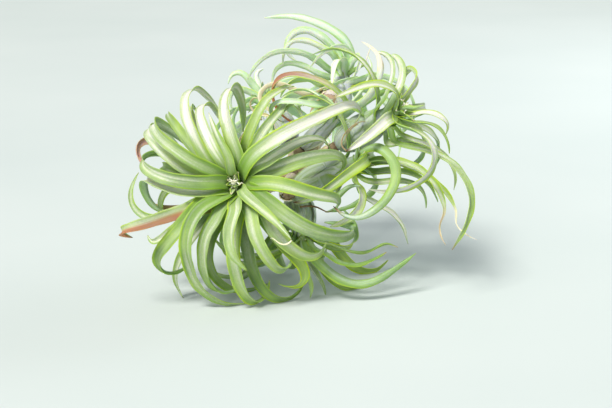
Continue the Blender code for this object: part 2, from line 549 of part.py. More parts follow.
def blade_stations(path):
    """Where a blade's sections sit: closer together where it bends more."""
    step = np.linalg.norm(np.diff(path, axis=0), axis=1)
    along = unit(np.diff(path, axis=0))
    turn = np.arccos(np.clip((along[1:] * along[:-1]).sum(1), -1, 1))
    turn = np.concatenate([[0], turn])
    measure = np.concatenate([[0], np.cumsum(turn / TURN_STEP + step / LONG_STEP)])
    count = int(np.clip(round(measure[-1]), 4, 9))
    stations = {int(j) for j in np.searchsorted(measure, np.linspace(0, measure[-1], count + 1)[1:-1])}
    lowest = int(path[:, 2].argmin())
    if path[lowest, 2] < TOUCHING:
        stations = {j for j in stations if abs(j - lowest) > 2} | {lowest}
    return sorted({0, len(path) - 1} | stations)


def blade_section(plants, k, j):
    """The six corners of a channelled blade: rim, valley, rim on top, then rim, keel, rim below."""
    middle, side, face = plants.path[k, j], plants.side[k, j], plants.face[k, j]
    half, fold, wall = plants.half[k, j], plants.fold[k, j], plants.wall[j]
    corners = []
    for way, top in ((-1, 1), (0, 1), (1, 1), (1, -1), (0, -1), (-1, -1)):
        rise = fold * (abs(way) - 0.5) + wall / 2 * top
        corners.append(middle + side * half * way + face * rise)
    return corners


def add_blade(plants, k, name):
    """One leaf as a closed body whose two faces are cut into triangles alike."""
    bm = bmesh.new()
    rings = []
    for j in blade_stations(plants.path[k]):
        rings.append([bm.verts.new(Vector(corner)) for corner in blade_section(plants, k, j)])
    for near, far in zip(rings, rings[1:]):
        for a in range(6):
            b = (a + 1) % 6
            if a < 3:
                bm.faces.new((near[a], near[b], far[b]))
                bm.faces.new((near[a], far[b], far[a]))
            else:
                bm.faces.new((near[a], near[b], far[a]))
                bm.faces.new((near[b], far[b], far[a]))
    bm.faces.new(rings[0])
    bm.faces.new(rings[-1])
    bmesh.ops.triangulate(bm, faces=[f for f in bm.faces if len(f.verts) > 4])
    bmesh.ops.recalc_face_normals(bm, faces=bm.faces)
    return add_object(name, bm)


def add_object(name, bm):
    mesh = bpy.data.meshes.new(name)
    bm.to_mesh(mesh)
    bm.free()
    made = bpy.data.objects.new(name, mesh)
    bpy.context.scene.collection.objects.link(made)
    return made


def add_bulb(name):
    """The swollen bulb as a turned body on its own axis, from its flat foot to the heart."""
    foot, _, axis, height = bulb_line(name)
    bm = bmesh.new()
    profile = []
    for i in range(BULB_RINGS + 1):
        share = i / BULB_RINGS
        profile.append(bm.verts.new((bulb_radius(name, share), 0, share * height)))
    edges = [bm.edges.new(pair) for pair in zip(profile, profile[1:])]
    bmesh.ops.spin(bm, geom=profile + edges, axis=(0, 0, 1), cent=(0, 0, 0), angle=math.tau,
                   steps=BULB_SIDES, use_merge=True)
    bmesh.ops.remove_doubles(bm, verts=bm.verts, dist=1e-6)
    bmesh.ops.holes_fill(bm, edges=[e for e in bm.edges if e.is_boundary], sides=0)
    bmesh.ops.recalc_face_normals(bm, faces=bm.faces)
    turn = Vector((0, 0, 1)).rotation_difference(Vector(axis)).to_matrix().to_4x4()
    bmesh.ops.transform(bm, matrix=Matrix.Translation(Vector(foot)) @ turn, verts=bm.verts)
    return add_object(name + "_bulb", bm)


def add_branch(path, name):
    """One round branch of the old stem."""
    curve = bpy.data.curves.new(name, "CURVE")
    curve.dimensions = "3D"
    curve.bevel_depth = STEM_RADIUS
    curve.bevel_resolution = 2
    curve.use_fill_caps = True
    line = curve.splines.new("POLY")
    line.points.add(len(path) - 1)
    for point, spot in zip(line.points, path):
        point.co = (*spot, 1)
    made = bpy.data.objects.new(name, curve)
    bpy.context.scene.collection.objects.link(made)
    solid = as_mesh(made)
    bm = bmesh.new()
    bm.from_mesh(solid.data)
    bmesh.ops.remove_doubles(bm, verts=bm.verts, dist=1e-6)
    bmesh.ops.recalc_face_normals(bm, faces=bm.faces)
    bm.to_mesh(solid.data)
    bm.free()
    return solid


def add_hub():
    """The knuckle where the branches meet."""
    bm = bmesh.new()
    bmesh.ops.create_icosphere(bm, subdivisions=2, radius=STEM_RADIUS * 1.5)
    bmesh.ops.translate(bm, vec=Vector(place(STEM_HUB)), verts=bm.verts)
    return add_object("hub", bm)


def as_mesh(made):
    """The same object as a plain mesh."""
    ready = made.evaluated_get(bpy.context.evaluated_depsgraph_get())
    mesh = bpy.data.meshes.new_from_object(ready)
    plain = bpy.data.objects.new(made.name, mesh)
    bpy.context.scene.collection.objects.link(plain)
    bpy.data.objects.remove(made)
    return plain


def fuse(name, body, parts):
    """Join parts to the body in one solid and slice off what lies below the resting surface."""
    group = bpy.data.collections.new(name + "_parts")
    bpy.context.scene.collection.children.link(group)
    for part in parts:
        bpy.context.scene.collection.objects.unlink(part)
        group.objects.link(part)
    union = body.modifiers.new("Union", "BOOLEAN")
    union.operation = "UNION"
    union.operand_type = "COLLECTION"
    union.collection = group
    union.solver = SOLVER
    below = add_floor_block()
    trim = body.modifiers.new("Trim", "BOOLEAN")
    trim.operation = "DIFFERENCE"
    trim.object = below
    trim.solver = SOLVER
    bpy.context.view_layer.update()
    solid = as_mesh(body)
    fill_pockets(solid.data)
    solid.name = name
    solid.data.name = name
    for part in list(group.objects) + [below]:
        bpy.data.objects.remove(part)
    bpy.data.collections.remove(group)
    return solid


def fill_pockets(mesh):
    """Keep the outer skin: blades that cross in the crown can shut in small pockets of air."""
    bm = bmesh.new()
    bm.from_mesh(mesh)
    todo, shells = set(bm.faces), []
    while todo:
        shell, edge = set(), [next(iter(todo))]
        while edge:
            face = edge.pop()
            if face in shell:
                continue
            shell.add(face)
            edge += [near for e in face.edges for near in e.link_faces if near not in shell]
        shells.append(shell)
        todo -= shell
    outer = max(shells, key=len)
    bmesh.ops.delete(bm, geom=[f for f in bm.faces if f not in outer], context="FACES")
    bm.to_mesh(mesh)
    bm.free()


def add_floor_block():
    """All that is below the resting surface."""
    bm = bmesh.new()
    bmesh.ops.create_cube(bm, size=1)
    bmesh.ops.translate(bm, vec=(0, 0, -0.5), verts=bm.verts)
    return add_object("below", bm)


def dress(solid, look):
    material = bpy.data.materials.new(solid.name)
    material.use_nodes = True
    shader = material.node_tree.nodes["Principled BSDF"]
    shader.inputs["Base Color"].default_value = (*look.colour, 1)
    shader.inputs["Roughness"].default_value = look.roughness
    shader.inputs["Metallic"].default_value = 0
    solid.data.materials.clear()
    solid.data.materials.append(material)
    solid.data.shade_smooth()
    solid.data.set_sharp_from_angle(angle=math.radians(40))


def seat(solid, origin):
    """Move the object's origin to the point that it grows from."""
    solid.data.transform(Matrix.Translation(-Vector(origin)))
    solid.location = Vector(origin)


def clear_scene():
    for old in list(bpy.data.objects):
        bpy.data.objects.remove(old)


def main():
    clear_scene()
    bpy.context.scene.unit_settings.system = "METRIC"
    branches = stem_branches()
    plants = Foliage(all_leaves())
    relax(plants, branches)
    for name in HEADS:
        blades = [add_blade(plants, k, f"{name}_leaf") for k, home in enumerate(plants.home) if home == name]
        solid = fuse(name, add_bulb(name), blades)
        dress(solid, HEADS[name].look)
        seat(solid, bulb_line(name)[0])
    woody = [add_branch(path, "branch") for path in branches]
    solid = fuse("old_stem", add_hub(), woody)
    dress(solid, WOOD)
    seat(solid, place(STEM_HUB))


main()
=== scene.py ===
import math
import random
from collections import namedtuple

import bmesh
import bpy
import numpy as np
from mathutils import Matrix, Vector


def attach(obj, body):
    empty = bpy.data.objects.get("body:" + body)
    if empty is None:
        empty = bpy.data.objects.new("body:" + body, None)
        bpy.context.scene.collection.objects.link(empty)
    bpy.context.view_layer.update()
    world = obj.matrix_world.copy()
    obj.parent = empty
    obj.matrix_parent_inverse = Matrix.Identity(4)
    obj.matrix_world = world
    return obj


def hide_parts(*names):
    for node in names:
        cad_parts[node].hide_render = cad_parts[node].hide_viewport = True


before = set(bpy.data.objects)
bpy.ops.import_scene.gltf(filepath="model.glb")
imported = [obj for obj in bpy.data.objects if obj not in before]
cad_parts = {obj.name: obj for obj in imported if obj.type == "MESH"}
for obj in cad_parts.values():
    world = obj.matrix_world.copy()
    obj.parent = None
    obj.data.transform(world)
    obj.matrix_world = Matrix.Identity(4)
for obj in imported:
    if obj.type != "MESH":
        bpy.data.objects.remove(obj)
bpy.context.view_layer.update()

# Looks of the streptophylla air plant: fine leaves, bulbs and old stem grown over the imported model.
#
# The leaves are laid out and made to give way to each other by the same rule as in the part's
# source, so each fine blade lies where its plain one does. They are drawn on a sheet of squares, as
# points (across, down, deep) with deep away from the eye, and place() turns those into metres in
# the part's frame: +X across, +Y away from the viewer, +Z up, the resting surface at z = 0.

# Driving dimensions, in metres unless named otherwise
SQUARE = 0.00085            # one square of the drawing sheet
SHEET_MIDDLE = (306, 204)   # squares: the point that the eye looks at
EYE_DISTANCE = 1647         # squares from the eye to the front rosette
VIEW_TILT = math.radians(15)    # the eye looks down on the plant by this much
FLOOR_DROP = 105            # squares from the looked-at point down to the resting surface
CENTRE = (-5.5, 85)         # squares: the clump's middle, across and back, from the looked-at point

LEAF_WALL = (0.0014, 0.0009)    # blade thickness at the base and at the tip
RULE_WIDTH = 10             # squares: width of a leaf that the rule adds
RULE_LENGTH = 0.112         # its length on a bulb of the common size
COMMON_RADIUS = 17          # squares: that bulb's radius
RULE_CURL = (math.radians(170), math.radians(235))  # how far round such a leaf curls
LIFT = math.radians(35)     # the angle from the bulb's axis at which it starts
RULE_LEAVE = 0.76           # the share of the bulb's height at which such leaves spring
RULE_RANK = 0.04            # how far apart their four ranks lie
ROOTS = ((0.22, 0.6), (0.04, 0.8))  # a root's depth below the leaving point and its reach outwards,
                                    # in shares of the bulb's height and radius
PLAIN_WIDTHS = ([0, .1, .22, .4, .72, .9, 1], [.45, .7, 1.06, 1.02, .74, .4, .1])
PLAIN_FOLDS = ([0, .15, .5, .8, 1], [.2, .24, .32, .5, .6])     # channel depth by half width
ASIDE = (0.31, 0.93, 0.2)   # a way that no bulb's axis runs along
FOOT_SHARE = 0.36           # a bulb's foot as a share of its greatest radius
STEM_RADIUS = 0.0046
STEM_STRAIGHT = 0.007       # the last stretch of a branch, in line with its bulb
SEAM = 0.0003               # dry parting between the old stem and a bulb's foot
NEAR = 0.016                # leaves closer than this may have to give way
CROWN = 0.029               # leaves of one head are one mass up to this length from their roots
PINNED, LOOSE = 0.016, 0.036    # a leaf can't shift up to the first length, is free past the other
HEAD_GAP = 0.0022           # clear air between leaves of different heads
LEAF_GAP = 0.0004           # and between leaves of one head
KIN_GIVE = 0.35             # leaves of one head make this share of the way that would part them
TURN_GIVE = 0.8             # share of a push that is followed in one turn
BODY_GIVE = 0.6             # and of the push away from a bulb or the stem
LEAN_WIDTH = 0.75           # share of its half width by which a leaf clears a bulb or the stem
BULB_CLEAR = 0.008          # between a rule-made leaf and the bulb of another head
FLOOR_DIP = 0.0006          # how far a resting leaf is pressed flat
SEED = 7

NODES = 36                  # points that carry each leaf's curve
RELAX_TURNS = 110

Leaf = namedtuple("Leaf", "head leave width twist points")
Head = namedtuple("Head", "foot heart radius fillers facing look")

# Bulb foot and heart on the sheet, greatest radius in squares, how many leaves the rule adds, how
# squarely those have to face away from the viewer (-1 any, 1 only straight away), and its skin
HEADS = {
    "head_front": Head((250, 192, 66), (236, 184, 2), 21, 5, 0, "green"),
    "head_right": Head((338, 145, 66), (398, 110, 30), 17, 5, 0, "green"),
    "head_middle": Head((294, 192, 50), (360, 160, 26), 18, 3, 0, "green"),
    "head_crown": Head((330, 118, 112), (344, 74, 148), 17, 8, -0.3, "pale"),
    "head_rear": Head((292, 142, 118), (264, 100, 150), 15, 7, -0.3, "pale"),
    "head_lower": Head((296, 196, 100), (306, 240, 58), 17, 4, 0, "green"),
    "head_pup": Head((302, 148, 80), (340, 117, 66), 9.5, 3, -0.3, "pale"),
}
STEM_HUB = (296, 174, 85)

# Each row is one leaf: where it leaves the bulb (0 foot, 1 heart), its width in squares, its twist
# in degrees, and the points that its middle passes on the sheet
FRONT_FAN = [
    (.95, 12.5, 0, [(226, 172, -8), (206, 145, -14), (190, 115, -4), (188, 96, 10), (196, 88, 26),
        (207, 96, 42), (216, 107, 52), (224, 122, 56)]),
    (.97, 11.5, 0, [(229, 172, -10), (213, 146, -16), (201, 122, -8), (200, 109, 4),
        (207, 105, 16), (215, 113, 28), (222, 126, 34)]),
    (1.0, 9, 20, [(232, 174, -14), (223, 153, -26), (214, 131, -30), (208, 113, -26)]),
    (.95, 15, 0, [(238, 171, -10), (230, 145, -16), (223, 115, -4), (225, 96, 10), (233, 87, 24),
        (240, 98, 38), (243, 115, 46), (243, 132, 50)]),
    (.93, 12.5, -10, [(226, 177, -10), (200, 167, -20), (175, 150, -18), (158, 134, -6),
        (154, 122, 8), (163, 124, 22), (178, 134, 34), (195, 148, 42), (208, 160, 48)]),
    (.85, 12.5, -10, [(220, 178, -2), (195, 170, -4), (170, 155, 4), (154, 141, 14),
        (148, 130, 26), (155, 127, 40), (170, 138, 50), (185, 153, 56)]),
    (.97, 13.5, -25, [(226, 182, -12), (200, 181, -24), (172, 178, -26), (152, 171, -16),
        (143, 161, 0), (150, 154, 14), (163, 154, 26), (175, 160, 34)]),
    (.90, 15, 0, [(225, 190, -8), (200, 193, -14), (174, 190, -14), (154, 182, -4),
        (145, 180, 12), (146, 193, 24), (155, 207, 32), (166, 214, 38)]),
]
FRONT_SKIRT = [
    (.93, 14, 0, [(222, 192, -10), (203, 206, -22), (183, 223, -26), (166, 243, -20),
        (157, 260, -4), (165, 272, 10), (180, 270, 22), (192, 262, 30)]),
    (.98, 13, -15, [(226, 194, -14), (205, 208, -28), (191, 225, -34), (186, 245, -30),
        (189, 264, -18), (197, 283, -4), (212, 297, 8), (232, 305, 18), (250, 304, 28)]),
    (.93, 14, 0, [(231, 198, -14), (220, 213, -26), (208, 232, -30), (203, 252, -26),
        (204, 272, -14), (212, 288, 0), (226, 293, 12), (240, 287, 22)]),
    (1.0, 14, 10, [(236, 199, -16), (228, 214, -32), (226, 235, -42), (231, 253, -44),
        (240, 264, -40), (246, 270, -36)]),
    (.90, 14, 0, [(238, 200, -4), (233, 225, -14), (232, 252, -18), (237, 276, -12),
        (246, 294, 0), (258, 301, 12), (268, 293, 24), (272, 279, 32)]),
    (.95, 13, 0, [(243, 199, -14), (246, 218, -28), (255, 240, -34), (268, 258, -28),
        (282, 268, -14), (292, 262, 0), (293, 250, 10)]),
    (.92, 14, 0, [(246, 196, -6), (258, 216, -12), (269, 234, -16), (285, 249, -14),
        (303, 258, -6), (318, 255, 4), (325, 243, 10)]),
    (1.0, 10.5, -30, [(242, 190, -18), (257, 204, -32), (272, 218, -40), (284, 231, -44),
        (292, 240, -46)]),
    (.95, 15, 0, [(247, 189, -10), (265, 199, -22), (286, 215, -28), (308, 228, -26),
        (332, 235, -16), (350, 234, 0), (353, 228, 12), (340, 224, 24), (324, 222, 32)]),
    (.97, 14, 0, [(248, 183, -12), (272, 184, -26), (297, 189, -30), (318, 194, -22),
        (334, 199, -8), (334, 207, 6), (323, 212, 16)]),
    (.90, 15, 0, [(248, 178, -4), (272, 168, -12), (300, 159, -12), (326, 154, -2),
        (342, 156, 10), (344, 165, 20), (336, 172, 26)]),
    (.94, 11.5, 0, [(246, 176, -8), (264, 161, -18), (286, 148, -18), (308, 139, -8),
        (324, 141, 6), (331, 150, 14)]),
    (.97, 14, 15, [(243, 172, -14), (262, 152, -28), (287, 134, -32), (314, 120, -26),
        (338, 109, -14), (354, 106, 2), (359, 114, 16), (353, 124, 24)]),
]
FRONT_UNDER = [
    (.85, 15, 10, [(224, 196, -2), (203, 204, -16), (180, 214, -28), (157, 222, -37),
        (139, 227, -41), (127, 230, -37), (122, 232, -27), (125, 235, -14), (133, 238, -4)]),
    (.80, 9, 20, [(214, 184, 22), (188, 168, 36), (164, 150, 42), (148, 141, 36), (138, 146, 28),
        (138, 157, 20), (146, 167, 10), (163, 171, 4)]),
    (.80, 13, 0, [(246, 196, 14), (268, 224, 4), (288, 250, 0), (302, 268, 4), (303, 281, 14),
        (292, 287, 24), (278, 284, 32)]),
    (.75, 12, 0, [(240, 204, 20), (246, 245, 10), (255, 282, 14), (268, 299, 22), (284, 303, 34),
        (298, 294, 44), (304, 280, 50)]),
    (.75, 11, 0, [(230, 202, 22), (212, 232, 16), (208, 262, 18), (222, 284, 26), (246, 290, 38),
        (270, 283, 46)]),
    (.72, 9.5, 0, [(222, 200, 26), (198, 226, 24), (180, 256, 28), (175, 278, 36),
        (183, 298, 44)]),
    (.75, 11, 0, [(218, 198, 24), (190, 214, 26), (166, 232, 34), (152, 240, 44),
        (147, 234, 54)]),
    (.72, 8.5, 0, [(216, 196, 26), (190, 208, 26), (165, 219, 30), (145, 217, 34), (133, 205, 36),
        (132, 188, 36), (139, 173, 34)]),
    (.70, 9.5, 0, [(214, 190, 30), (185, 186, 36), (166, 192, 42), (161, 208, 48),
        (170, 222, 54)]),
    # dead leaves at the bulb's foot
    (.42, 6.5, 0, [(242, 158, 60), (240, 144, 56), (249, 128, 52), (262, 114, 50), (272, 118, 50),
        (276, 132, 52)]),
    (.45, 8.5, 0, [(215, 200, 56), (190, 206, 56), (168, 208, 54), (147, 201, 50),
        (142, 190, 46)]),
]
RIGHT_LEAVES = [
    (.75, 10.5, 0, [(373, 114, 32), (385, 98, 30), (391, 80, 36), (391, 65, 46), (384, 54, 58),
        (374, 52, 68)]),
    (.85, 10.5, 0, [(385, 110, 28), (395, 96, 28), (401, 80, 36), (401, 66, 48), (394, 56, 60),
        (384, 57, 70)]),
    (.95, 9.5, 0, [(402, 100, 30), (411, 88, 34), (417, 76, 42), (411, 69, 52), (405, 78, 60),
        (404, 92, 64)]),
    (.98, 9.5, -20, [(397, 102, 20), (396, 93, 12), (387, 86, 4), (374, 84, -4), (358, 88, -10),
        (346, 93, -14), (333, 98, -16)]),
    (.60, 9.5, 0, [(352, 108, 36), (341, 95, 28), (324, 83, 22), (306, 77, 18), (290, 77, 20),
        (279, 86, 26), (277, 98, 32), (281, 110, 36), (289, 119, 40), (300, 124, 46),
        (311, 125, 52)]),
    (.95, 12.5, 0, [(391, 120, 12), (376, 132, 0), (360, 143, -8), (346, 152, -14)]),
    (.95, 10, 40, [(410, 115, 26), (424, 113, 22), (438, 116, 22), (447, 124, 26),
        (446, 134, 34)]),
    (.95, 8.5, 45, [(408, 121, 20), (425, 122, 14), (438, 128, 12), (446, 139, 14),
        (449, 154, 18)]),
    (.95, 12, 50, [(398, 122, 14), (414, 128, 4), (428, 138, -2), (434, 152, -4), (431, 168, -4),
        (420, 180, -2), (403, 188, 0), (385, 191, 2), (368, 190, 4)]),
    (.80, 8.5, 25, [(400, 134, 36), (418, 141, 38), (438, 150, 42), (450, 163, 46),
        (455, 177, 50), (454, 190, 54)]),
    (.80, 11.5, 20, [(392, 140, 26), (412, 148, 22), (432, 153, 18), (450, 162, 16),
        (464, 178, 14), (471, 196, 12), (469, 216, 12), (461, 235, 12), (452, 250, 12)]),
    (.70, 9.5, 0, [(385, 142, 46), (405, 140, 46), (425, 145, 52), (440, 158, 60)]),
    (1.0, 5.5, 0, [(405, 108, 22), (413, 108, 16), (424, 105, 12)]),
]
MIDDLE_LEAVES = [
    (.95, 10, 0, [(368, 150, 18), (383, 152, 10), (395, 166, 4), (396, 182, 0), (388, 198, -4),
        (374, 211, -8), (357, 217, -10), (344, 213, -10), (335, 205, -8)]),
    (1.0, 11, 0, [(368, 158, 10), (353, 171, -4), (338, 184, -12), (322, 196, -16),
        (306, 204, -14), (295, 205, -10)]),
    (.85, 11.5, 40, [(354, 181, 18), (361, 190, 10), (361, 203, 6), (354, 214, 6), (342, 222, 10),
        (330, 227, 16)]),
    (.70, 6.5, 0, [(336, 196, 22), (348, 190, 14), (363, 189, 10)]),
    (.95, 11, 35, [(378, 158, 22), (400, 159, 20), (420, 168, 20), (436, 186, 20), (443, 202, 20),
        (444, 213, 20), (440, 224, 20), (441, 236, 20), (446, 245, 20)]),
    (.90, 9.5, 0, [(378, 164, 30), (402, 166, 32), (426, 176, 32), (443, 190, 30), (453, 204, 28),
        (456, 214, 26), (456, 223, 24), (464, 233, 22), (477, 240, 20)]),
    (.85, 11, 0, [(372, 172, 36), (394, 171, 42), (414, 175, 48), (430, 186, 56),
        (438, 202, 64)]),
    (.80, 9.5, 25, [(366, 180, 34), (390, 180, 36), (412, 183, 42), (424, 194, 50),
        (426, 208, 58)]),
    (.80, 9.5, 25, [(358, 190, 40), (374, 203, 44), (390, 212, 52), (402, 226, 62),
        (408, 244, 72)]),
]
PUP_LEAVES = [
    (.95, 10.5, 0, [(350, 105, 62), (361, 95, 54), (370, 84, 48), (374, 70, 50), (370, 56, 56)]),
    (.92, 10.5, 0, [(352, 110, 60), (366, 98, 48), (378, 81, 42), (381, 61, 46), (373, 48, 56),
        (361, 41, 64)]),
    (.85, 8.5, 0, [(332, 106, 54), (321, 101, 42), (304, 99, 30), (288, 101, 24), (275, 107, 22),
        (274, 114, 24), (284, 123, 28)]),
]
CROWN_LEAVES = [
    (.95, 10, 0, [(350, 62, 150), (345, 44, 148), (331, 30, 146), (313, 21, 144), (292, 16, 144),
        (264, 18, 146)]),
    (.95, 10, 0, [(340, 57, 146), (327, 40, 142), (311, 31, 140), (297, 32, 140), (288, 42, 142),
        (289, 54, 148), (298, 62, 154)]),
    (.90, 9, 0, [(335, 58, 138), (320, 47, 132), (304, 41, 130), (291, 43, 130), (284, 54, 132),
        (283, 66, 136)]),
    (.85, 10, 0, [(326, 68, 138), (310, 57, 128), (292, 52, 124), (273, 54, 122), (258, 64, 122),
        (247, 80, 124)]),
    (.80, 9, 0, [(322, 76, 140), (305, 67, 138), (288, 64, 138), (276, 71, 138), (272, 86, 140)]),
    (.97, 9, 0, [(349, 58, 142), (342, 49, 134), (330, 50, 124), (318, 58, 116), (308, 70, 110)]),
    (.92, 9, 0, [(344, 62, 134), (338, 60, 122), (334, 70, 112), (332, 86, 106)]),
    (.95, 7.5, 0, [(352, 62, 140), (359, 56, 132), (358, 66, 124), (352, 80, 118)]),
    (.75, 6.5, 0, [(326, 90, 118), (336, 83, 110), (346, 79, 106), (358, 76, 104)]),
    (.70, 9, 0, [(318, 96, 118), (303, 98, 106), (290, 106, 102), (281, 118, 106)]),
    (.66, 9, 0, [(326, 102, 110), (317, 106, 96), (309, 115, 88), (303, 128, 88)]),
    (.80, 9, 0, [(326, 84, 124), (312, 82, 112), (298, 80, 106), (286, 86, 106), (280, 98, 110)]),
    # dead leaves at the bulb's foot
    (.45, 10, 0, [(308, 96, 106), (292, 90, 96), (276, 85, 88), (264, 89, 82), (260, 99, 80),
        (266, 108, 80), (280, 113, 82)]),
    (.35, 10, 0, [(312, 112, 100), (311, 121, 92), (314, 131, 86), (317, 140, 84)]),
]
REAR_LEAVES = [
    (.95, 7.5, 0, [(257, 90, 146), (249, 80, 142), (240, 73, 140), (232, 75, 142),
        (228, 84, 146)]),
    (1.0, 7.5, 0, [(260, 89, 150), (257, 80, 150), (258, 72, 152), (264, 69, 158)]),
    (.90, 7.5, 0, [(254, 94, 144), (244, 89, 138), (236, 90, 136), (231, 99, 138),
        (233, 110, 142)]),
    (.85, 7.5, 0, [(254, 100, 140), (243, 104, 132), (236, 112, 128), (234, 124, 130),
        (240, 134, 134)]),
    (.90, 7.5, 0, [(262, 106, 138), (256, 114, 126), (253, 126, 120), (256, 138, 120)]),
    (.75, 9, 0, [(274, 112, 128), (270, 122, 116), (272, 136, 108), (280, 148, 108)]),
    (.80, 9, 0, [(276, 104, 134), (288, 102, 124), (298, 108, 118), (303, 120, 118)]),
]
LOWER_LEAVES = [
    (.95, 9.5, 0, [(314, 240, 50), (332, 247, 42), (352, 253, 38), (371, 251, 38), (385, 244, 40),
        (398, 248, 42)]),
    (.97, 9.5, 0, [(312, 246, 44), (328, 260, 36), (346, 266, 32), (364, 263, 32),
        (386, 252, 34)]),
    (.98, 11, 0, [(309, 249, 42), (324, 266, 32), (342, 279, 28), (364, 283, 28), (388, 273, 32),
        (416, 253, 38)]),
    (.95, 9.5, 0, [(305, 251, 44), (309, 268, 38), (313, 284, 38), (312, 297, 42)]),
    (.92, 8.5, 0, [(307, 252, 50), (316, 270, 48), (323, 285, 50), (326, 297, 54)]),
    (.90, 9.5, 0, [(311, 250, 58), (324, 272, 58), (338, 286, 62), (352, 291, 70),
        (368, 286, 80)]),
    # the leaves that prop the clump from behind
    (.80, 11, 0, [(318, 230, 90), (336, 250, 104), (354, 271, 116), (372, 277, 128),
        (388, 266, 138)]),
    (.80, 11, 0, [(304, 226, 106), (308, 250, 126), (314, 270, 146), (322, 266, 166),
        (328, 250, 180)]),
    (.80, 11, 0, [(290, 228, 104), (274, 250, 120), (258, 272, 138), (240, 270, 154),
        (226, 256, 166)]),
    (.80, 11, 0, [(284, 232, 84), (262, 256, 92), (238, 283, 102), (216, 280, 112),
        (200, 270, 122)]),
]
LEAF_ROWS = {
    "head_front": FRONT_FAN + FRONT_SKIRT + FRONT_UNDER,
    "head_right": RIGHT_LEAVES,
    "head_middle": MIDDLE_LEAVES,
    "head_crown": CROWN_LEAVES,
    "head_rear": REAR_LEAVES,
    "head_lower": LOWER_LEAVES,
    "head_pup": PUP_LEAVES,
}


def place(point):
    """A drawn point (across, down, deep) in the part's frame, in metres."""
    across, down, deep = point
    spread = 1 + deep / EYE_DISTANCE
    right = (across - SHEET_MIDDLE[0]) * spread
    high = (SHEET_MIDDLE[1] - down) * spread
    back = deep * math.cos(VIEW_TILT) + high * math.sin(VIEW_TILT)
    up = high * math.cos(VIEW_TILT) - deep * math.sin(VIEW_TILT)
    return np.array([right - CENTRE[0], back - CENTRE[1], up + FLOOR_DROP]) * SQUARE


AWAY = np.array([0, math.cos(VIEW_TILT), -math.sin(VIEW_TILT)])     # the way that the eye looks


def unit(vector):
    return vector / np.maximum(np.linalg.norm(vector, axis=-1, keepdims=True), 1e-12)


def bulb_line(name):
    """A bulb's foot, heart, axis and height."""
    head = HEADS[name]
    foot, heart = place(head.foot), place(head.heart)
    return foot, heart, unit(heart - foot), np.linalg.norm(heart - foot)


def bulb_radius(name, share):
    """The bulb swells from its narrow foot and draws in again towards the heart."""
    share = np.clip(share, 0, 1)
    swell = np.sin(math.pi * share ** 0.7)
    return HEADS[name].radius * SQUARE * (FOOT_SHARE + (1 - FOOT_SHARE) * swell)


def smooth_curve(points, count):
    """Evenly spaced points on the natural cubic spline through the given ones, and its length."""
    p = np.asarray(points, float)
    knot = np.concatenate([[0], np.cumsum(np.linalg.norm(np.diff(p, axis=0), axis=1) ** 0.75)])
    gap = np.diff(knot)
    size = len(p)
    matrix = np.eye(size)
    right = np.zeros((size, 3))
    for i in range(1, size - 1):
        matrix[i, i - 1:i + 2] = gap[i - 1], 2 * (gap[i - 1] + gap[i]), gap[i]
        right[i] = 6 * ((p[i + 1] - p[i]) / gap[i] - (p[i] - p[i - 1]) / gap[i - 1])
    bend = np.linalg.solve(matrix, right)
    at = np.linspace(0, knot[-1], 300)
    k = np.clip(np.searchsorted(knot, at, side="right") - 1, 0, size - 2)
    x = (at - knot[k])[:, None]
    h = gap[k][:, None]
    fine = (bend[k] * (h - x) ** 3 + bend[k + 1] * x ** 3) / (6 * h)
    fine += (p[k] / h - bend[k] * h / 6) * (h - x) + (p[k + 1] / h - bend[k + 1] * h / 6) * x
    run = np.concatenate([[0], np.cumsum(np.linalg.norm(np.diff(fine, axis=0), axis=1))])
    even = np.linspace(0, run[-1], count)
    return np.stack([np.interp(even, run, fine[:, c]) for c in range(3)], axis=1), run[-1]


def arching_points(name, leave, azimuth, length, curl, sway):
    """A leaf by rule: it springs up beside the axis and its angle from the axis grows to curl."""
    foot, _, axis, height = bulb_line(name)
    side = unit(np.cross(axis, ASIDE))
    out = side * math.cos(azimuth) + np.cross(axis, side) * math.sin(azimuth)
    across = np.cross(axis, out)
    point = foot + axis * height * leave + out * bulb_radius(name, leave) * 0.8
    steps, points = 24, []
    for i in range(steps):
        share = (i + 0.5) / steps
        angle = LIFT + (curl - LIFT) * share ** 0.9
        aside = sway * share ** 1.5
        lean = out * math.cos(aside) + across * math.sin(aside)
        point = point + (axis * math.cos(angle) + lean * math.sin(angle)) * length / steps
        if i % 4 == 3:
            points.append(point)
    return points


def clears_bulbs(name, points):
    """True if a leaf of this head passes beside all the other bulbs."""
    points = np.array(points)
    for other in HEADS:
        foot, _, axis, height = bulb_line(other)
        share = np.clip((points - foot) @ axis / height, 0, 1)
        gap = np.linalg.norm(points - foot - axis * (share * height)[:, None], axis=1)
        if other != name and (gap < bulb_radius(other, share) + BULB_CLEAR).any():
            return False
    return True


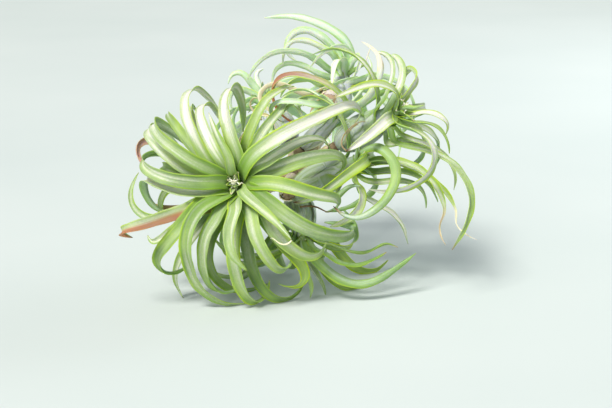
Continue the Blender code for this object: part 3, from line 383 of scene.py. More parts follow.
def filler_leaves(name, rows, rng):
    """Leaves that the rule adds in the widest gaps on the side of the head away from the viewer."""
    head = HEADS[name]
    _, heart, axis, _ = bulb_line(name)
    side = unit(np.cross(axis, ASIDE))
    other = np.cross(axis, side)
    taken = []
    for _, _, _, points in rows:
        way = place(points[min(2, len(points) - 1)]) - heart
        taken.append(math.atan2(way @ other, way @ side))
    length = RULE_LENGTH * min(head.radius / COMMON_RADIUS, 1.1)
    choices = []
    for azimuth in np.linspace(0, math.tau, 72, endpoint=False):
        out = side * math.cos(azimuth) + other * math.sin(azimuth)
        points = arching_points(name, RULE_LEAVE, azimuth, length, sum(RULE_CURL) / 2, 0)
        if out @ AWAY > head.facing and clears_bulbs(name, points):
            choices.append(azimuth)
    leaves = []
    for i in range(head.fillers):
        best = max(choices, key=lambda a: min(abs((a - b + math.pi) % math.tau - math.pi)
                                              for b in taken))
        taken.append(best)
        leave = RULE_LEAVE + RULE_RANK * (1.5 - i % 4)
        curl = rng.uniform(*RULE_CURL)
        reach = length * rng.uniform(0.87, 1.1)
        points = arching_points(name, leave, best, reach, curl, rng.uniform(-0.5, 0.5))
        leaves.append(Leaf(name, leave, RULE_WIDTH, 0, points))
    return leaves


def all_leaves():
    rng = random.Random(SEED)
    leaves = []
    for name, rows in LEAF_ROWS.items():
        leaves += [Leaf(name, a, w, t, [place(p) for p in points]) for a, w, t, points in rows]
        leaves += filler_leaves(name, rows, rng)
    return leaves


def stem_branches():
    """The old stem's middle lines: from its hub to just short of each bulb's foot."""
    hub = place(STEM_HUB)
    branches = []
    for name in HEADS:
        foot, _, axis, _ = bulb_line(name)
        straight = foot - axis * STEM_STRAIGHT
        bend = hub + (straight - hub) * 0.7 - axis * STEM_RADIUS
        turning = smooth_curve([hub, bend, straight], 4)[0]
        branches.append(np.vstack([turning, foot - axis * SEAM]))
    return branches


def rooted_path(leaf):
    """The leaf's middle line from inside its bulb, its length, and the way its face looks."""
    foot, _, axis, height = bulb_line(leaf.head)
    out = leaf.points[0] - (foot + axis * height * leaf.leave)
    out = unit(out - axis * (out @ axis))
    start = []
    for depth, reach in ROOTS:
        share = leaf.leave - depth
        start.append(foot + axis * height * share + out * bulb_radius(leaf.head, share) * reach)
    path, length = smooth_curve(start + leaf.points, NODES)
    return path, length, -out


class Foliage:
    """All leaves as arrays: middle line, sections and the body that each one grows from."""

    def __init__(self, leaves):
        rooted = [rooted_path(leaf) for leaf in leaves]
        share = np.linspace(0, 1, NODES)
        self.home = [leaf.head for leaf in leaves]
        self.path = np.array([r[0] for r in rooted])
        self.length = np.array([r[1] for r in rooted])
        self.first_face = np.array([r[2] for r in rooted])
        self.twist = np.radians([leaf.twist for leaf in leaves])
        width = np.array([leaf.width for leaf in leaves]) * SQUARE
        self.half = width[:, None] / 2 * np.interp(share, *PLAIN_WIDTHS)
        self.fold = self.half * np.interp(share, *PLAIN_FOLDS)
        self.wall = np.interp(share, [0, 1], LEAF_WALL)
        self.run = share * self.length[:, None]
        self.frames()

    def frames(self):
        """Carry each leaf's face along its line without spin, then add the twist."""
        self.along = unit(np.gradient(self.path, axis=1))
        face = self.first_face
        faces = []
        for j in range(NODES):
            face = unit(face - (face * self.along[:, j]).sum(1, keepdims=True) * self.along[:, j])
            faces.append(face)
        face = np.stack(faces, axis=1)
        side = np.cross(self.along, face)
        turn = self.twist[:, None] * np.linspace(0, 1, NODES) ** 1.2
        cos, sin = np.cos(turn)[..., None], np.sin(turn)[..., None]
        self.face = face * cos + side * sin
        self.side = np.cross(self.along, self.face)


def near_pairs(plants):
    """Pairs of points on different leaves that are close enough to matter."""
    flat = plants.path.reshape(-1, 3).astype(np.float32)
    size = (flat ** 2).sum(1)
    gap = size[:, None] + size[None, :] - 2 * flat @ flat.T
    i, j = np.nonzero(np.triu(gap < NEAR ** 2, 1))
    leaf = np.repeat(np.arange(len(plants.home)), NODES)
    homes = np.array([sorted(set(plants.home)).index(h) for h in plants.home])[leaf]
    run = plants.run.reshape(-1)
    kin = homes[i] == homes[j]
    together = kin & (run[i] < CROWN) & (run[j] < CROWN)
    keep = (leaf[i] != leaf[j]) & ~together
    return i[keep], j[keep], kin[keep]


def leaf_pushes(plants, pairs, free):
    """How far each point has to give way so that no two blades touch."""
    i, j, kin = pairs
    path, along = plants.path.reshape(-1, 3), plants.along.reshape(-1, 3)
    side, face = plants.side.reshape(-1, 3), plants.face.reshape(-1, 3)
    half, fold = plants.half.reshape(-1), plants.fold.reshape(-1)
    wall = np.tile(plants.wall, len(plants.home))
    gap = path[i] - path[j]
    apart = gap - (gap * along[i]).sum(1, keepdims=True) * along[i]
    cross = along[j] - (along[j] * along[i]).sum(1, keepdims=True) * along[i]
    skew = np.linalg.norm(cross, axis=1)
    cross = unit(cross)
    amount = np.clip((skew - 0.2) / 0.3, 0, 1)[:, None]
    apart = apart - amount * (apart * cross).sum(1, keepdims=True) * cross
    distance = np.linalg.norm(apart, axis=1)
    normal = unit(apart)

    def reach(k):
        flat = np.abs((side[k] * normal).sum(1)) * half[k]
        return flat + np.abs((face[k] * normal).sum(1)) * (fold[k] / 2 + wall[k] / 2)

    wanted = reach(i) + reach(j) + np.where(kin, LEAF_GAP, HEAD_GAP)
    along_plane = np.linalg.norm(gap - apart, axis=1) / (half[i] + half[j] + 0.001)
    need = np.clip(wanted - distance, 0, None) * np.clip(1.7 - along_plane, 0, 1)
    need = need * np.where(kin, KIN_GIVE, 1)
    hit = need > 1e-6
    i, j, normal, need = i[hit], j[hit], normal[hit], need[hit]
    freedom = free.reshape(-1)
    total = np.maximum(freedom[i] + freedom[j], 1e-6)
    push, count = np.zeros_like(path), np.zeros(len(path))
    np.add.at(push, i, normal * (need * freedom[i] / total)[:, None])
    np.add.at(push, j, -normal * (need * freedom[j] / total)[:, None])
    np.add.at(count, i, 1)
    np.add.at(count, j, 1)
    return (push / np.maximum(count, 1)[:, None] ** 0.75).reshape(plants.path.shape)


def body_pushes(plants, branches, free):
    """Leaves give way to the other heads' bulbs and to the old stem."""
    flat = plants.path.reshape(-1, 3)
    half = plants.half.reshape(-1)
    own_root = plants.run.reshape(-1) < LOOSE
    push = np.zeros_like(flat)

    def give_way(centre, radius, own):
        gap = flat - centre
        distance = np.linalg.norm(gap, axis=1)
        inside = (distance < radius) & ~(own & own_root)
        push[inside] += unit(gap[inside]) * (radius - distance)[inside][:, None] * BODY_GIVE

    for name in HEADS:
        foot, _, axis, height = bulb_line(name)
        share = np.clip((flat - foot) @ axis / height, 0, 1)
        own = np.repeat([home == name for home in plants.home], NODES)
        give_way(foot + axis * (share * height)[:, None],
                 bulb_radius(name, share) + half * LEAN_WIDTH + HEAD_GAP, own)
    for branch in branches:
        gap = np.linalg.norm(flat[:, None] - branch[None], axis=2)
        give_way(branch[gap.argmin(1)], STEM_RADIUS + half * LEAN_WIDTH + HEAD_GAP, False)
    return push.reshape(plants.path.shape) * free[..., None]


def floor_push(plants):
    """Leaves that hang lower than the surface lie on it, pressed flat by a trace."""
    drop = np.abs(plants.side[..., 2]) * plants.half + plants.wall / 2
    drop += np.abs(plants.face[..., 2]) * plants.fold / 2
    return np.clip(drop - FLOOR_DIP - plants.path[..., 2], 0, None)


def relax(plants, branches):
    """Let the drawn leaves part where they would meet, a little each turn."""
    rest = plants.path.copy()
    shift = np.zeros_like(rest)
    free = np.clip((plants.run - PINNED) / (LOOSE - PINNED), 0, 1)
    for turn in range(RELAX_TURNS):
        if turn % 6 == 0:
            pairs = near_pairs(plants)
        push = leaf_pushes(plants, pairs, free) + body_pushes(plants, branches, free)
        push[..., 2] += floor_push(plants)
        shift += push * TURN_GIVE
        for _ in range(2):
            bend = np.zeros_like(shift)
            bend[:, 1:-1] = (shift[:, :-2] + shift[:, 2:]) / 2 - shift[:, 1:-1]
            bend[:, -1] = shift[:, -2] - shift[:, -1]
            shift += bend * 0.5
        shift *= free[..., None] ** 0.3
        plants.path = rest + shift
        plants.frames()


# ---------------------------------------------------------------- fine shape of the leaves

ACROSS = 10                 # strips across a blade
BLADE_ROWS = 46             # sections along the free blade
SHEATH_ROWS = 12            # and along the sheath that clasps the bulb
BLADE_WALL = 0.0011         # thickness at the middle of the base
SHEATH_WALL = 0.25          # a sheath is only so much of that, so that sheaths lie on each other
SHEATH_FOOT = 0.02          # the sheaths start at this share of the bulb's height
CLASP = (1.75, 1.1)         # radians to each side that a sheath wraps at its foot and at its mouth
LAYERS = (-0.0022, 0.0006)  # how deep the innermost and the outermost sheath lie in the bulb
DEAD_LIFT = 0.0006          # how far a dead sheath stands off what is under it
PLUG = 0.93                 # the share of a bulb's height from where leaf bases fill its mouth
WIDTH_PROFILE = ([0, .1, .25, .45, .72, .88, .96, 1], [.8, .86, 1, .98, .76, .46, .24, .05])
FULLER = 1.08               # a fine blade is this much wider than its plain one
BULB_BLOOM = 0.8            # silver on the sheaths that make up a bulb
PAINTED_SKY_HIGHLIGHT = 0.3             # and how much more of it where a blade faces the sky, a painted highlight of light from above
RIM_WAVE = 0.00035          # how far the rims wander
WAVE_RUN = 0.021            # and over what length
SHEATH_LEAD = 0.22          # a sheath ends this share of the bulb's height below its blade's root
LEAVING = 0.18              # the share of the bulb's height over which a blade leaves it
CLASP_END = 0.985           # nothing clasps the bulb above this share of its height
FREE_FROM = (0.45, 0.15)    # a blade starts to part from the bulb this far along: the lesser of
                            # these shares of the leaving height and of its own length
FREE_AT = (0.75, 1.6, 0.4)  # and is free by a share of its way from the axis to where it was drawn,
                            # at least so many leaving heights and at most a share of its length
MOUTH_WRAP = 1.1            # radians: the most that a blade wraps the bulb while it parts from it
WITHERED = (0.7, 0.9)       # a leaf that is dry from between these shares shrivels there
SHRIVEL = 0.6               # and loses this share of its width
DEAD_FORM = (0.7, 1.5)      # width and depth of channel of a dead leaf against a living one
FINE_FOLD = (1.15, 1.5)     # how much deeper a fine blade's channel is than its plain one's
CHANNEL = (1.6, 0.45)       # how steeply the channel rises to the rims, and how deep its middle is
SKEW = 0.12                 # how unlike a blade's two halves may be
RIM_LAG = 1.3               # radians by which the wander of one rim lags behind that of the middle
TIP_THIN, RIM_THIN = 0.5, 0.5   # shares of its thickness that a blade loses to its tip and its rims
CORE_SIDES = 32             # facets round an inner bulb
CORE_SINK = 0.0006          # how far it lies under the innermost sheath
GRAIN_STARTS = (0, 400)     # mm: where in the pattern of veins a leaf may lie
MM = 1000                   # the grain is in millimetres
GOLDEN_TURN = math.radians(137.5)
THREAD_WIDTH = 0.0005       # frayed ends of young leaves
KNOT_WIDTH = 0.0010         # those in a knot, drawn broader than they are so that they show
SCALE_LENGTH = 0.013        # a scale of bark on the old stem
SCALE_STEP = 0.0032         # and how far along the stem the next one is
SCALE_LIFT = (0.0002, 0.0016)   # how far its root and its tip stand off the stem
SCALE_WRAP = ([0, 0.3, 0.75, 1], [1.5, 1.25, 0.7, 0.08])    # radians to each side along a scale
STEM_NODES = 60             # points that carry a branch of the stem
SENSOR = 36                 # mm: with the image's width, only the ratio counts
IMAGE_WIDTH = 612           # squares that the image is wide
SUN_WAY = (0.42, 0.66, -0.95)   # the way that the sunlight falls
FAR_OFF = 2                 # how far up that way the sun's marker stands
PLANT_MIDDLE = (0, 0, 0.12)     # the point that the panels of light are turned to
FLOOR_HALF = 9              # metres from the floor's middle to its rim
FLOOR_SINK = 0.0002         # and how far it lies under the resting surface

# What a surface knows at each point, apart from its grain and wall
FLOATS = ("rim", "bloom", "flush", "dry", "tint", "reach", "straw")

# How a leaf departs from a plain green one: red flush, where it is dry from (share of its
# length, 1 nowhere, 0 all), silver bloom, which side the flush favours (-1, 0 both, 1), how
# pale its dry part is (0 brown, 1 cream), from where a flush on one side spreads to both, and
# from where the leaf is flushed at all
State = namedtuple("State", "flush dry bloom side straw spread start",
                   defaults=(0, 1, 0, 0, 0.5, 1, 0.12))
SILVERED = State(bloom=0.75)
PALE_TOP = State(bloom=0.45)
PALER = State(bloom=0.55)
STATES = {
    "head_front": dict.fromkeys((0, 1, 3), SILVERED) | {
        2: PALE_TOP, 4: PALE_TOP, 5: PALE_TOP, 26: PALE_TOP, 27: PALE_TOP,
        6: State(bloom=0.2), 7: State(bloom=0.15), 15: State(bloom=0.12), 17: State(bloom=0.2),
        18: State(bloom=0.15), 19: State(bloom=0.35), 20: State(bloom=0.7, dry=0.97),
        21: State(flush=0.95, bloom=0.4, side=-1, straw=0.3),
        22: State(flush=0.85, bloom=0.95, dry=0.97, straw=0.6),
        30: State(dry=0, straw=0.85), 31: State(dry=0, straw=0.5)},
    "head_right": {0: SILVERED, 1: SILVERED, 2: PALER, 3: State(bloom=0.25, dry=0.95),
                   4: State(flush=1, bloom=0.15, dry=0.95, straw=0.3, side=1, spread=0.62,
                            start=0.25),
                   5: State(dry=0.94, bloom=0.5, straw=0.1),
                   6: PALE_TOP, 8: State(bloom=0.5), 10: State(dry=0.96, straw=0.4)},
    "head_middle": {0: State(bloom=0.35, dry=0.93, straw=0.35), 1: State(dry=0.93, straw=0.1),
                    2: PALE_TOP, 4: State(dry=0.76, straw=0.75), 5: State(dry=0.74, straw=1),
                    8: PALE_TOP},
    "head_crown": dict.fromkeys((1, 2, 5, 6, 7), PALER) | {
        0: State(bloom=0.2), 3: State(bloom=0.25), 12: State(dry=0, straw=0.85),
        13: State(dry=0, straw=0.6)},
    "head_rear": {1: PALER},
    "head_lower": {0: State(dry=0.95, straw=0.6), 1: State(dry=0.96), 3: PALE_TOP, 4: PALE_TOP},
    "head_pup": {0: PALER, 1: State(bloom=0.8, dry=0.66, straw=1),
                 2: State(bloom=-0.2, dry=0.94, straw=0.2)},
}
HEAD_BLOOM = {"head_crown": 0.25, "head_rear": 0.3, "head_right": 0.25, "head_middle": 0.15,
              "head_pup": 0.4}

# Dry threads, the withered ends of leaves: width in squares, paleness, points on the sheet
THREADS = [
    (1.2, 0.5, [(347, 151, -13), (342, 146, -15), (343, 137, -16), (350, 128, -15),
        (360, 122, -13), (366, 122, -9)]),
    (2.2, 0.75, [(262, 120, 116), (255, 113, 112), (250, 104, 110), (254, 98, 108),
        (261, 101, 104), (263, 110, 102)]),
    (2.4, 0.3, [(250, 166, 50), (245, 160, 46), (249, 152, 42), (257, 148, 40), (263, 142, 38)]),
    (1.4, 0.9, [(292, 240, -45), (287, 244, -46), (279, 243, -46), (272, 238, -45),
        (270, 239, -43)]),
    (1.6, 0.2, [(300, 207, -10), (309, 206, -6), (319, 208, -2), (328, 212, 0), (333, 210, 4)]),
    (1.0, 0.6, [(358, 124, 20), (352, 128, 14), (346, 137, 12), (345, 146, 10)]),
    (1.3, 0.95, [(370, 49, 57), (367, 57, 55), (366, 64, 55), (370, 71, 56), (377, 74, 57)]),
]

# Young leaves, frayed threads, their size, how far they stand proud of the bulb's mouth, how far
# the outer ones lean and how broad a thread is
HEARTS = (("head_front", 9, 18, 0.014, 0.010, 0.2, KNOT_WIDTH),
          ("head_right", 13, 16, 0.015, 0.006, 0.6, KNOT_WIDTH),
          ("head_middle", 10, 6, 0.015, 0.003, 0.6, THREAD_WIDTH),
          ("head_crown", 11, 6, 0.017, 0.003, 0.75, THREAD_WIDTH),
          ("head_rear", 10, 6, 0.015, 0.003, 0.7, THREAD_WIDTH),
          ("head_lower", 10, 6, 0.015, 0.003, 0.6, THREAD_WIDTH),
          ("head_pup", 6, 4, 0.010, 0.002, 0.5, THREAD_WIDTH))

# Two skins for each kind of leaf, its upper and its under side: name, colour at the base, three
# greens from dark to light, dull and bright water scales, pale rim line and lime rim glow (painted
# glow of light through the rim), how far bloom and how far plain skin is covered by scales, and the
# share of that cover near the base and at the tip
SKINS = {
    "green": (("air_plant_leaf_upper", "#6f9c10", ("#4c7618", "#7ca036", "#aec65a"),
               "#cdd3bd", "#dcdbd5", ("#bccf92", "#b4cc20"), 1.0, 0.38, 0.3, 1.0),
              ("air_plant_leaf_under", "#6c9420", ("#557f26", "#7ea244", "#a5c064"),
               "#b6c8b2", "#e4e6de", ("#b8ca90", "#b0c83c"), 0.5, 0.42, 0.8, 0.75)),
    "pale": (("pale_leaf_upper", "#8cb84e", ("#82b262", "#a8d08c", "#c9e4b2"),
              "#d8e5d4", "#e9ede6", ("#d4e6b4", "#cbe066"), 0.9, 0.4, 0.3, 1.0),
             ("pale_leaf_under", "#8cb84e", ("#82b265", "#aad191", "#cbe4b5"),
              "#d8e5d6", "#e9ede6", ("#d6e6ba", "#cfe070"), 0.5, 0.6, 0.8, 0.9)),
}


def smooth_step(low, high, value):
    share = np.clip((value - low) / (high - low), 0, 1)
    return share * share * (3 - 2 * share)


def soft_profile(table, share):
    """The table's values along the leaf with its corners rounded off."""
    fine = np.interp(np.linspace(0, 1, 201), *table)
    for _ in range(60):
        fine[1:-1] = (fine[:-2] + 2 * fine[1:-1] + fine[2:]) / 4
    return np.interp(share, np.linspace(0, 1, 201), fine)


def state_of(leaves, k):
    first = next(i for i, leaf in enumerate(leaves) if leaf.head == leaves[k].head)
    return STATES[leaves[k].head].get(k - first, State())


def sampled(values, at):
    """The vectors at fractional places in their list."""
    places = np.arange(len(values))
    return np.stack([np.interp(at, places, values[:, c]) for c in range(3)], axis=1)


def surface(points, across, along, start, **values):
    """Rows of points with what the surface knows at each. Its grain lies across and along it."""
    def spread(value):
        return np.broadcast_to(value, points.shape[:2])

    grain = np.stack([spread(across * MM), spread(along * MM), spread(start)], axis=-1)
    return {"point": points, "grain": grain} | {name: spread(v) for name, v in values.items()}


def head_layers(plants, leaves):
    """How deep each leaf's sheath lies in its bulb: the lowest leaf is the outermost, and dead
    sheaths lie loosely on all the others."""
    layer = np.zeros(len(leaves))
    for name in HEADS:
        mine = sorted((k for k in range(len(leaves)) if plants.home[k] == name),
                      key=lambda k: -leaves[k].leave)
        lift = LAYERS[1]
        for place_in, k in enumerate(mine):
            layer[k] = np.interp(place_in, [0, len(mine) - 1], LAYERS)
            if state_of(leaves, k).dry == 0:
                lift += DEAD_LIFT
                layer[k] = lift
    return layer


def blade_points(leaf, state, line, side, face, share, run, across, rng):
    """Rows of points across a blade as it is when clear of its bulb, and its half widths."""
    half = leaf.width * SQUARE / 2 * FULLER * soft_profile(WIDTH_PROFILE, share)
    if WITHERED[0] < state.dry < WITHERED[1]:
        half = half * (1 - SHRIVEL * smooth_step(state.dry - 0.06, state.dry + 0.03, share))
    fold = half * soft_profile(PLAIN_FOLDS, share) * rng.uniform(*FINE_FOLD)
    if state.dry == 0:
        half, fold = half * DEAD_FORM[0], fold * DEAD_FORM[1]
    phase, skew = rng.uniform(0, math.tau), rng.uniform(-SKEW, SKEW)
    trough = np.abs(across) ** CHANNEL[0] - CHANNEL[1] + skew * across
    wave = RIM_WAVE * np.sin(math.tau * run[:, None] / WAVE_RUN + phase + across * RIM_LAG)
    wave = wave * np.abs(across) ** 3 * smooth_step(0.1, 0.3, share)[:, None]
    rise = fold[:, None] * trough + wave
    points = (line[:, None] + side[:, None] * (half[:, None] * across)[..., None]
              + face[:, None] * rise[..., None])
    return points, half


def clasping_points(leaf, layer, out, run, half, across):
    """Rows of points round the bulb, along the sheath and on under the blade, with their half
    widths, how far along the leaf they lie, and how free of the bulb the blade is."""
    foot, _, axis, height = bulb_line(leaf.head)
    mouth = leaf.leave - SHEATH_LEAD
    low = np.linspace(0, 1, SHEATH_ROWS, endpoint=False)
    share = np.concatenate([SHEATH_FOOT + (mouth - SHEATH_FOOT) * low,
                            np.clip(mouth + run / height, 0, CLASP_END)])
    radius = bulb_radius(leaf.head, share) + layer
    length, leaving = run[-1], LEAVING * height
    drawn = np.linalg.norm(leaf.points[0] - (foot + axis * height * leaf.leave))
    reach = min(max(leaving + FREE_AT[0] * drawn, FREE_AT[1] * leaving), FREE_AT[2] * length)
    free = smooth_step(min(FREE_FROM[0] * leaving, FREE_FROM[1] * length), reach, run)
    spread = (1 - free) * CLASP[1]
    spread = spread + free * np.minimum(half / radius[SHEATH_ROWS:], MOUTH_WRAP)
    turn = np.concatenate([CLASP[0] + (CLASP[1] - CLASP[0]) * low, spread])
    angle = (turn[:, None] * across)[..., None]
    beside = unit(np.cross(axis, -out))
    points = (foot + axis * (height * share)[:, None, None]
              + radius[:, None, None] * (out * np.cos(angle) + beside * np.sin(angle)))
    wide = np.concatenate([turn[:SHEATH_ROWS] * radius[:SHEATH_ROWS], half])
    far = np.concatenate([low * height * mouth, run + height * mouth])
    return points, wide, far, free


def leaf_rows(plants, leaves, k, layer, rng):
    """One leaf as rows of points across it, with what its surface knows at each of them."""
    leaf, state = leaves[k], state_of(leaves, k)
    line, length = smooth_curve(plants.path[k], BLADE_ROWS)
    share = np.linspace(0, 1, BLADE_ROWS)
    across = np.linspace(-1, 1, ACROSS + 1)
    run = share * length
    side, face = (unit(sampled(v[k], share * (NODES - 1))) for v in (plants.side, plants.face))
    blade, half = blade_points(leaf, state, line, side, face, share, run, across, rng)
    out = unit(-plants.first_face[k])
    clasp, wide, far, free = clasping_points(leaf, layer, out, run, half, across)
    parted = free[:, None, None]
    points = np.concatenate([clasp[:SHEATH_ROWS],
                             (1 - parted) * clasp[SHEATH_ROWS:] + parted * blade])
    points[..., 2] = np.maximum(points[..., 2], BLADE_WALL / 2)

    sheath = np.zeros(SHEATH_ROWS)
    along, off_bulb = np.concatenate([sheath, share]), np.concatenate([sheath, free])
    # painted highlight: the bloom is raised where the blade faces the sky, as light from above
    # whitens it
    skyward = np.concatenate([sheath, np.clip(face[:, 2], 0, 1)])
    bloom = state.bloom + HEAD_BLOOM.get(leaf.head, 0) + PAINTED_SKY_HIGHLIGHT * skyward
    bloom = np.maximum(bloom * smooth_step(0.2, 0.5, along),
                       BULB_BLOOM * (1 - smooth_step(0.2, 0.9, off_bulb)))
    favoured = smooth_step(-0.5, 0.1, state.side * across) if state.side else 1
    both = 0 * along
    if state.spread < 1:
        both = smooth_step(state.spread - 0.1, state.spread + 0.1, along)
    flushed = state.flush * smooth_step(state.start, state.start + 0.38, along)
    dry = smooth_step(state.dry - 0.02, state.dry + 0.05, along) if state.dry else 1 + 0 * along
    thick = (SHEATH_WALL + (1 - SHEATH_WALL) * off_bulb) * (1 - TIP_THIN * along)
    rim = np.abs(across)
    return surface(points, wide[:, None] * across, far[:, None], rng.uniform(*GRAIN_STARTS),
                   rim=rim * smooth_step(0.02, 0.15, along)[:, None],
                   bloom=np.clip(bloom, 0, 1)[:, None],
                   flush=flushed[:, None] * np.maximum(favoured, both[:, None]), dry=dry[:, None],
                   tint=rng.uniform(-1, 1), reach=along[:, None], straw=state.straw,
                   wall=thick[:, None] * (1 - RIM_THIN * rim ** 3))


def lay_leaf(bm, rows):
    """A flat grid whose points are then moved to the leaf's place, each with its attributes."""
    count, wide = rows["rim"].shape
    made = bmesh.ops.create_grid(bm, x_segments=wide - 1, y_segments=count - 1, size=0.5)
    layers = {name: bm.verts.layers.float[name] for name in FLOATS}
    grain, weight = bm.verts.layers.float_vector["grain"], bm.verts.layers.deform.verify()
    for vert in made["verts"]:
        i = round((vert.co.x + 0.5) * (wide - 1))
        j = round((vert.co.y + 0.5) * (count - 1))
        vert.co = Vector(rows["point"][j, i])
        vert[grain] = rows["grain"][j, i]
        vert[weight][0] = float(rows["wall"][j, i])
        for name, layer in layers.items():
            vert[layer] = float(rows[name][j, i])
    for face in {f for v in made["verts"] for f in v.link_faces}:
        face.smooth = True


def new_foliage():
    """An empty mesh that can hold leaves and what their surfaces know."""
    bm = bmesh.new()
    bm.verts.layers.float_vector.new("grain")
    for name in FLOATS:
        bm.verts.layers.float.new(name)
    bm.verts.layers.deform.verify()
    return bm


def ribbon_rows(points, width, state, rng, count=18, strips=4, hollow=0.5, wall=0.5,
                beside=(0.37, 0.61, 0.7)):
    """A small leaf or thread along the points, hollowed along its middle, as broad as it can be
    in the way beside it."""
    line, length = smooth_curve(points, count)
    along = unit(np.gradient(line, axis=0))
    face = unit(np.cross(beside, along[0]))
    faces = []
    for way in along:
        face = unit(face - way * (face @ way))
        faces.append(face)
    faces = np.array(faces)
    side = np.cross(along, faces)
    share = np.linspace(0, 1, count)
    across = np.linspace(-1, 1, strips + 1)
    half = width / 2 * soft_profile(([0, .2, .5, .8, 1], [.7, 1, .9, .55, .1]), share)
    rise = (half * hollow)[:, None] * (across ** 2 - 0.5)
    rows = (line[:, None] + side[:, None] * (half[:, None] * across)[..., None]
            + faces[:, None] * rise[..., None])
    dry = smooth_step(state.dry - 0.1, state.dry + 0.1, share) if state.dry else np.ones(count)
    return surface(rows, half[:, None] * across, (share * length)[:, None],
                   rng.uniform(*GRAIN_STARTS), rim=np.abs(across) * 0.9, bloom=state.bloom, flush=0,
                   dry=dry[:, None], tint=rng.uniform(-1, 1), reach=(0.3 + 0.7 * share)[:, None],
                   straw=state.straw, wall=(wall * (1 - 0.4 * share))[:, None])


def springing_points(start, way, out, length, curl, rng, wobble):
    """A short shoot from start that bends outwards by curl, with some wobble."""
    beside = np.cross(way, out)
    point, points = np.array(start, float), [np.array(start, float)]
    for i in range(6):
        angle = curl * (i + 1) / 6
        drift = beside * rng.uniform(-wobble, wobble) + out * rng.uniform(-wobble, wobble)
        point = point + unit(way * math.cos(angle) + out * math.sin(angle) + drift) * length / 6
        points.append(point)
    return points


def around(axis, turn, tilt):
    """The way that leans from the axis by tilt at the given turn, and the way outwards from it."""
    side = unit(np.cross(axis, ASIDE))
    out = side * math.cos(turn) + np.cross(axis, side) * math.sin(turn)
    way = axis * math.cos(tilt) + out * math.sin(tilt)
    return way, unit(out - way * (out @ way))


def young_rows(middle, axis, mouth, count, size, lean, rng):
    """The young leaves that fill a bulb's mouth: short and upright inside, longer and leaning
    outwards towards the rim of the mouth, each hollow towards the middle."""
    rows = []
    for i in range(count):
        outer = (i + 0.5) / count
        turn = GOLDEN_TURN * i + rng.uniform(-0.2, 0.2)
        way, out = around(axis, turn, 0.12 + lean * outer + rng.uniform(-0.1, 0.1))
        level = unit(out - axis * (out @ axis))
        start = middle - axis * size * 0.45 + level * mouth * (0.1 + 0.55 * outer)
        reach = size * (0.75 + 0.8 * lean * outer) * rng.uniform(0.85, 1.15)
        points = springing_points(start, way, out, reach, 0.3 + 0.8 * lean * outer, rng, 0.04)
        state = State(bloom=rng.uniform(0.1, 0.4), dry=rng.uniform(0.86, 1), straw=0.8)
        rows.append(ribbon_rows(points, mouth * (0.5 + 0.45 * outer), state, rng, 20, 6, 0.9, 0.7,
                                np.cross(out, axis)))
    return rows


def frayed_rows(middle, axis, count, size, width, rng):
    """The knot of frayed white threads in the middle of a rosette."""
    rows = []
    for i in range(count):
        way, out = around(axis, GOLDEN_TURN * i + rng.uniform(-0.5, 0.5), rng.uniform(0.3, 1.4))
        start = middle + axis * size * rng.uniform(-0.15, 0.2) + out * size * rng.uniform(0.0, 0.3)
        points = springing_points(start, way, out, size * rng.uniform(0.35, 0.8),
                                  rng.choice((-1, 1)) * rng.uniform(1.2, 3.6), rng, 0.8)
        rows.append(ribbon_rows(points, width, State(), rng, 18, 2, 0.5, 0.4))
    return rows


def stem_scale_rows(rng):
    """Dead leaf bases that clasp the old stem, one above the other."""
    rows = []
    for branch in stem_branches():
        line, length = smooth_curve(branch, STEM_NODES)
        along = unit(np.gradient(line, axis=0))
        side = unit(np.cross(along, ASIDE))
        other = np.cross(along, side)
        azimuth = rng.uniform(0, math.tau)
        for at in np.arange(0.0, length - SCALE_LENGTH, SCALE_STEP):
            azimuth += GOLDEN_TURN
            share = np.linspace(0, 1, 9)
            across = np.linspace(-1, 1, 7)
            spot = (at + share * SCALE_LENGTH * rng.uniform(0.8, 1.15)) / length * (STEM_NODES - 1)
            middle, u, v = (sampled(values, spot)[:, None] for values in (line, side, other))
            lift = STEM_RADIUS + SCALE_LIFT[0] + SCALE_LIFT[1] * share ** 2 * rng.uniform(0.3, 1.4)
            half = np.interp(share, *SCALE_WRAP)
            angle = (azimuth + half[:, None] * across)[..., None]
            rows.append(surface(
                middle + (u * np.cos(angle) + v * np.sin(angle)) * lift[:, None, None],
                half[:, None] * across * STEM_RADIUS, (share * SCALE_LENGTH)[:, None],
                rng.uniform(*GRAIN_STARTS), rim=0, bloom=0, flush=0, dry=1, tint=rng.uniform(-1, 1),
                reach=0, straw=rng.uniform(0.5, 0.9) + 0.15 * share[:, None], wall=0.4))
    return rows


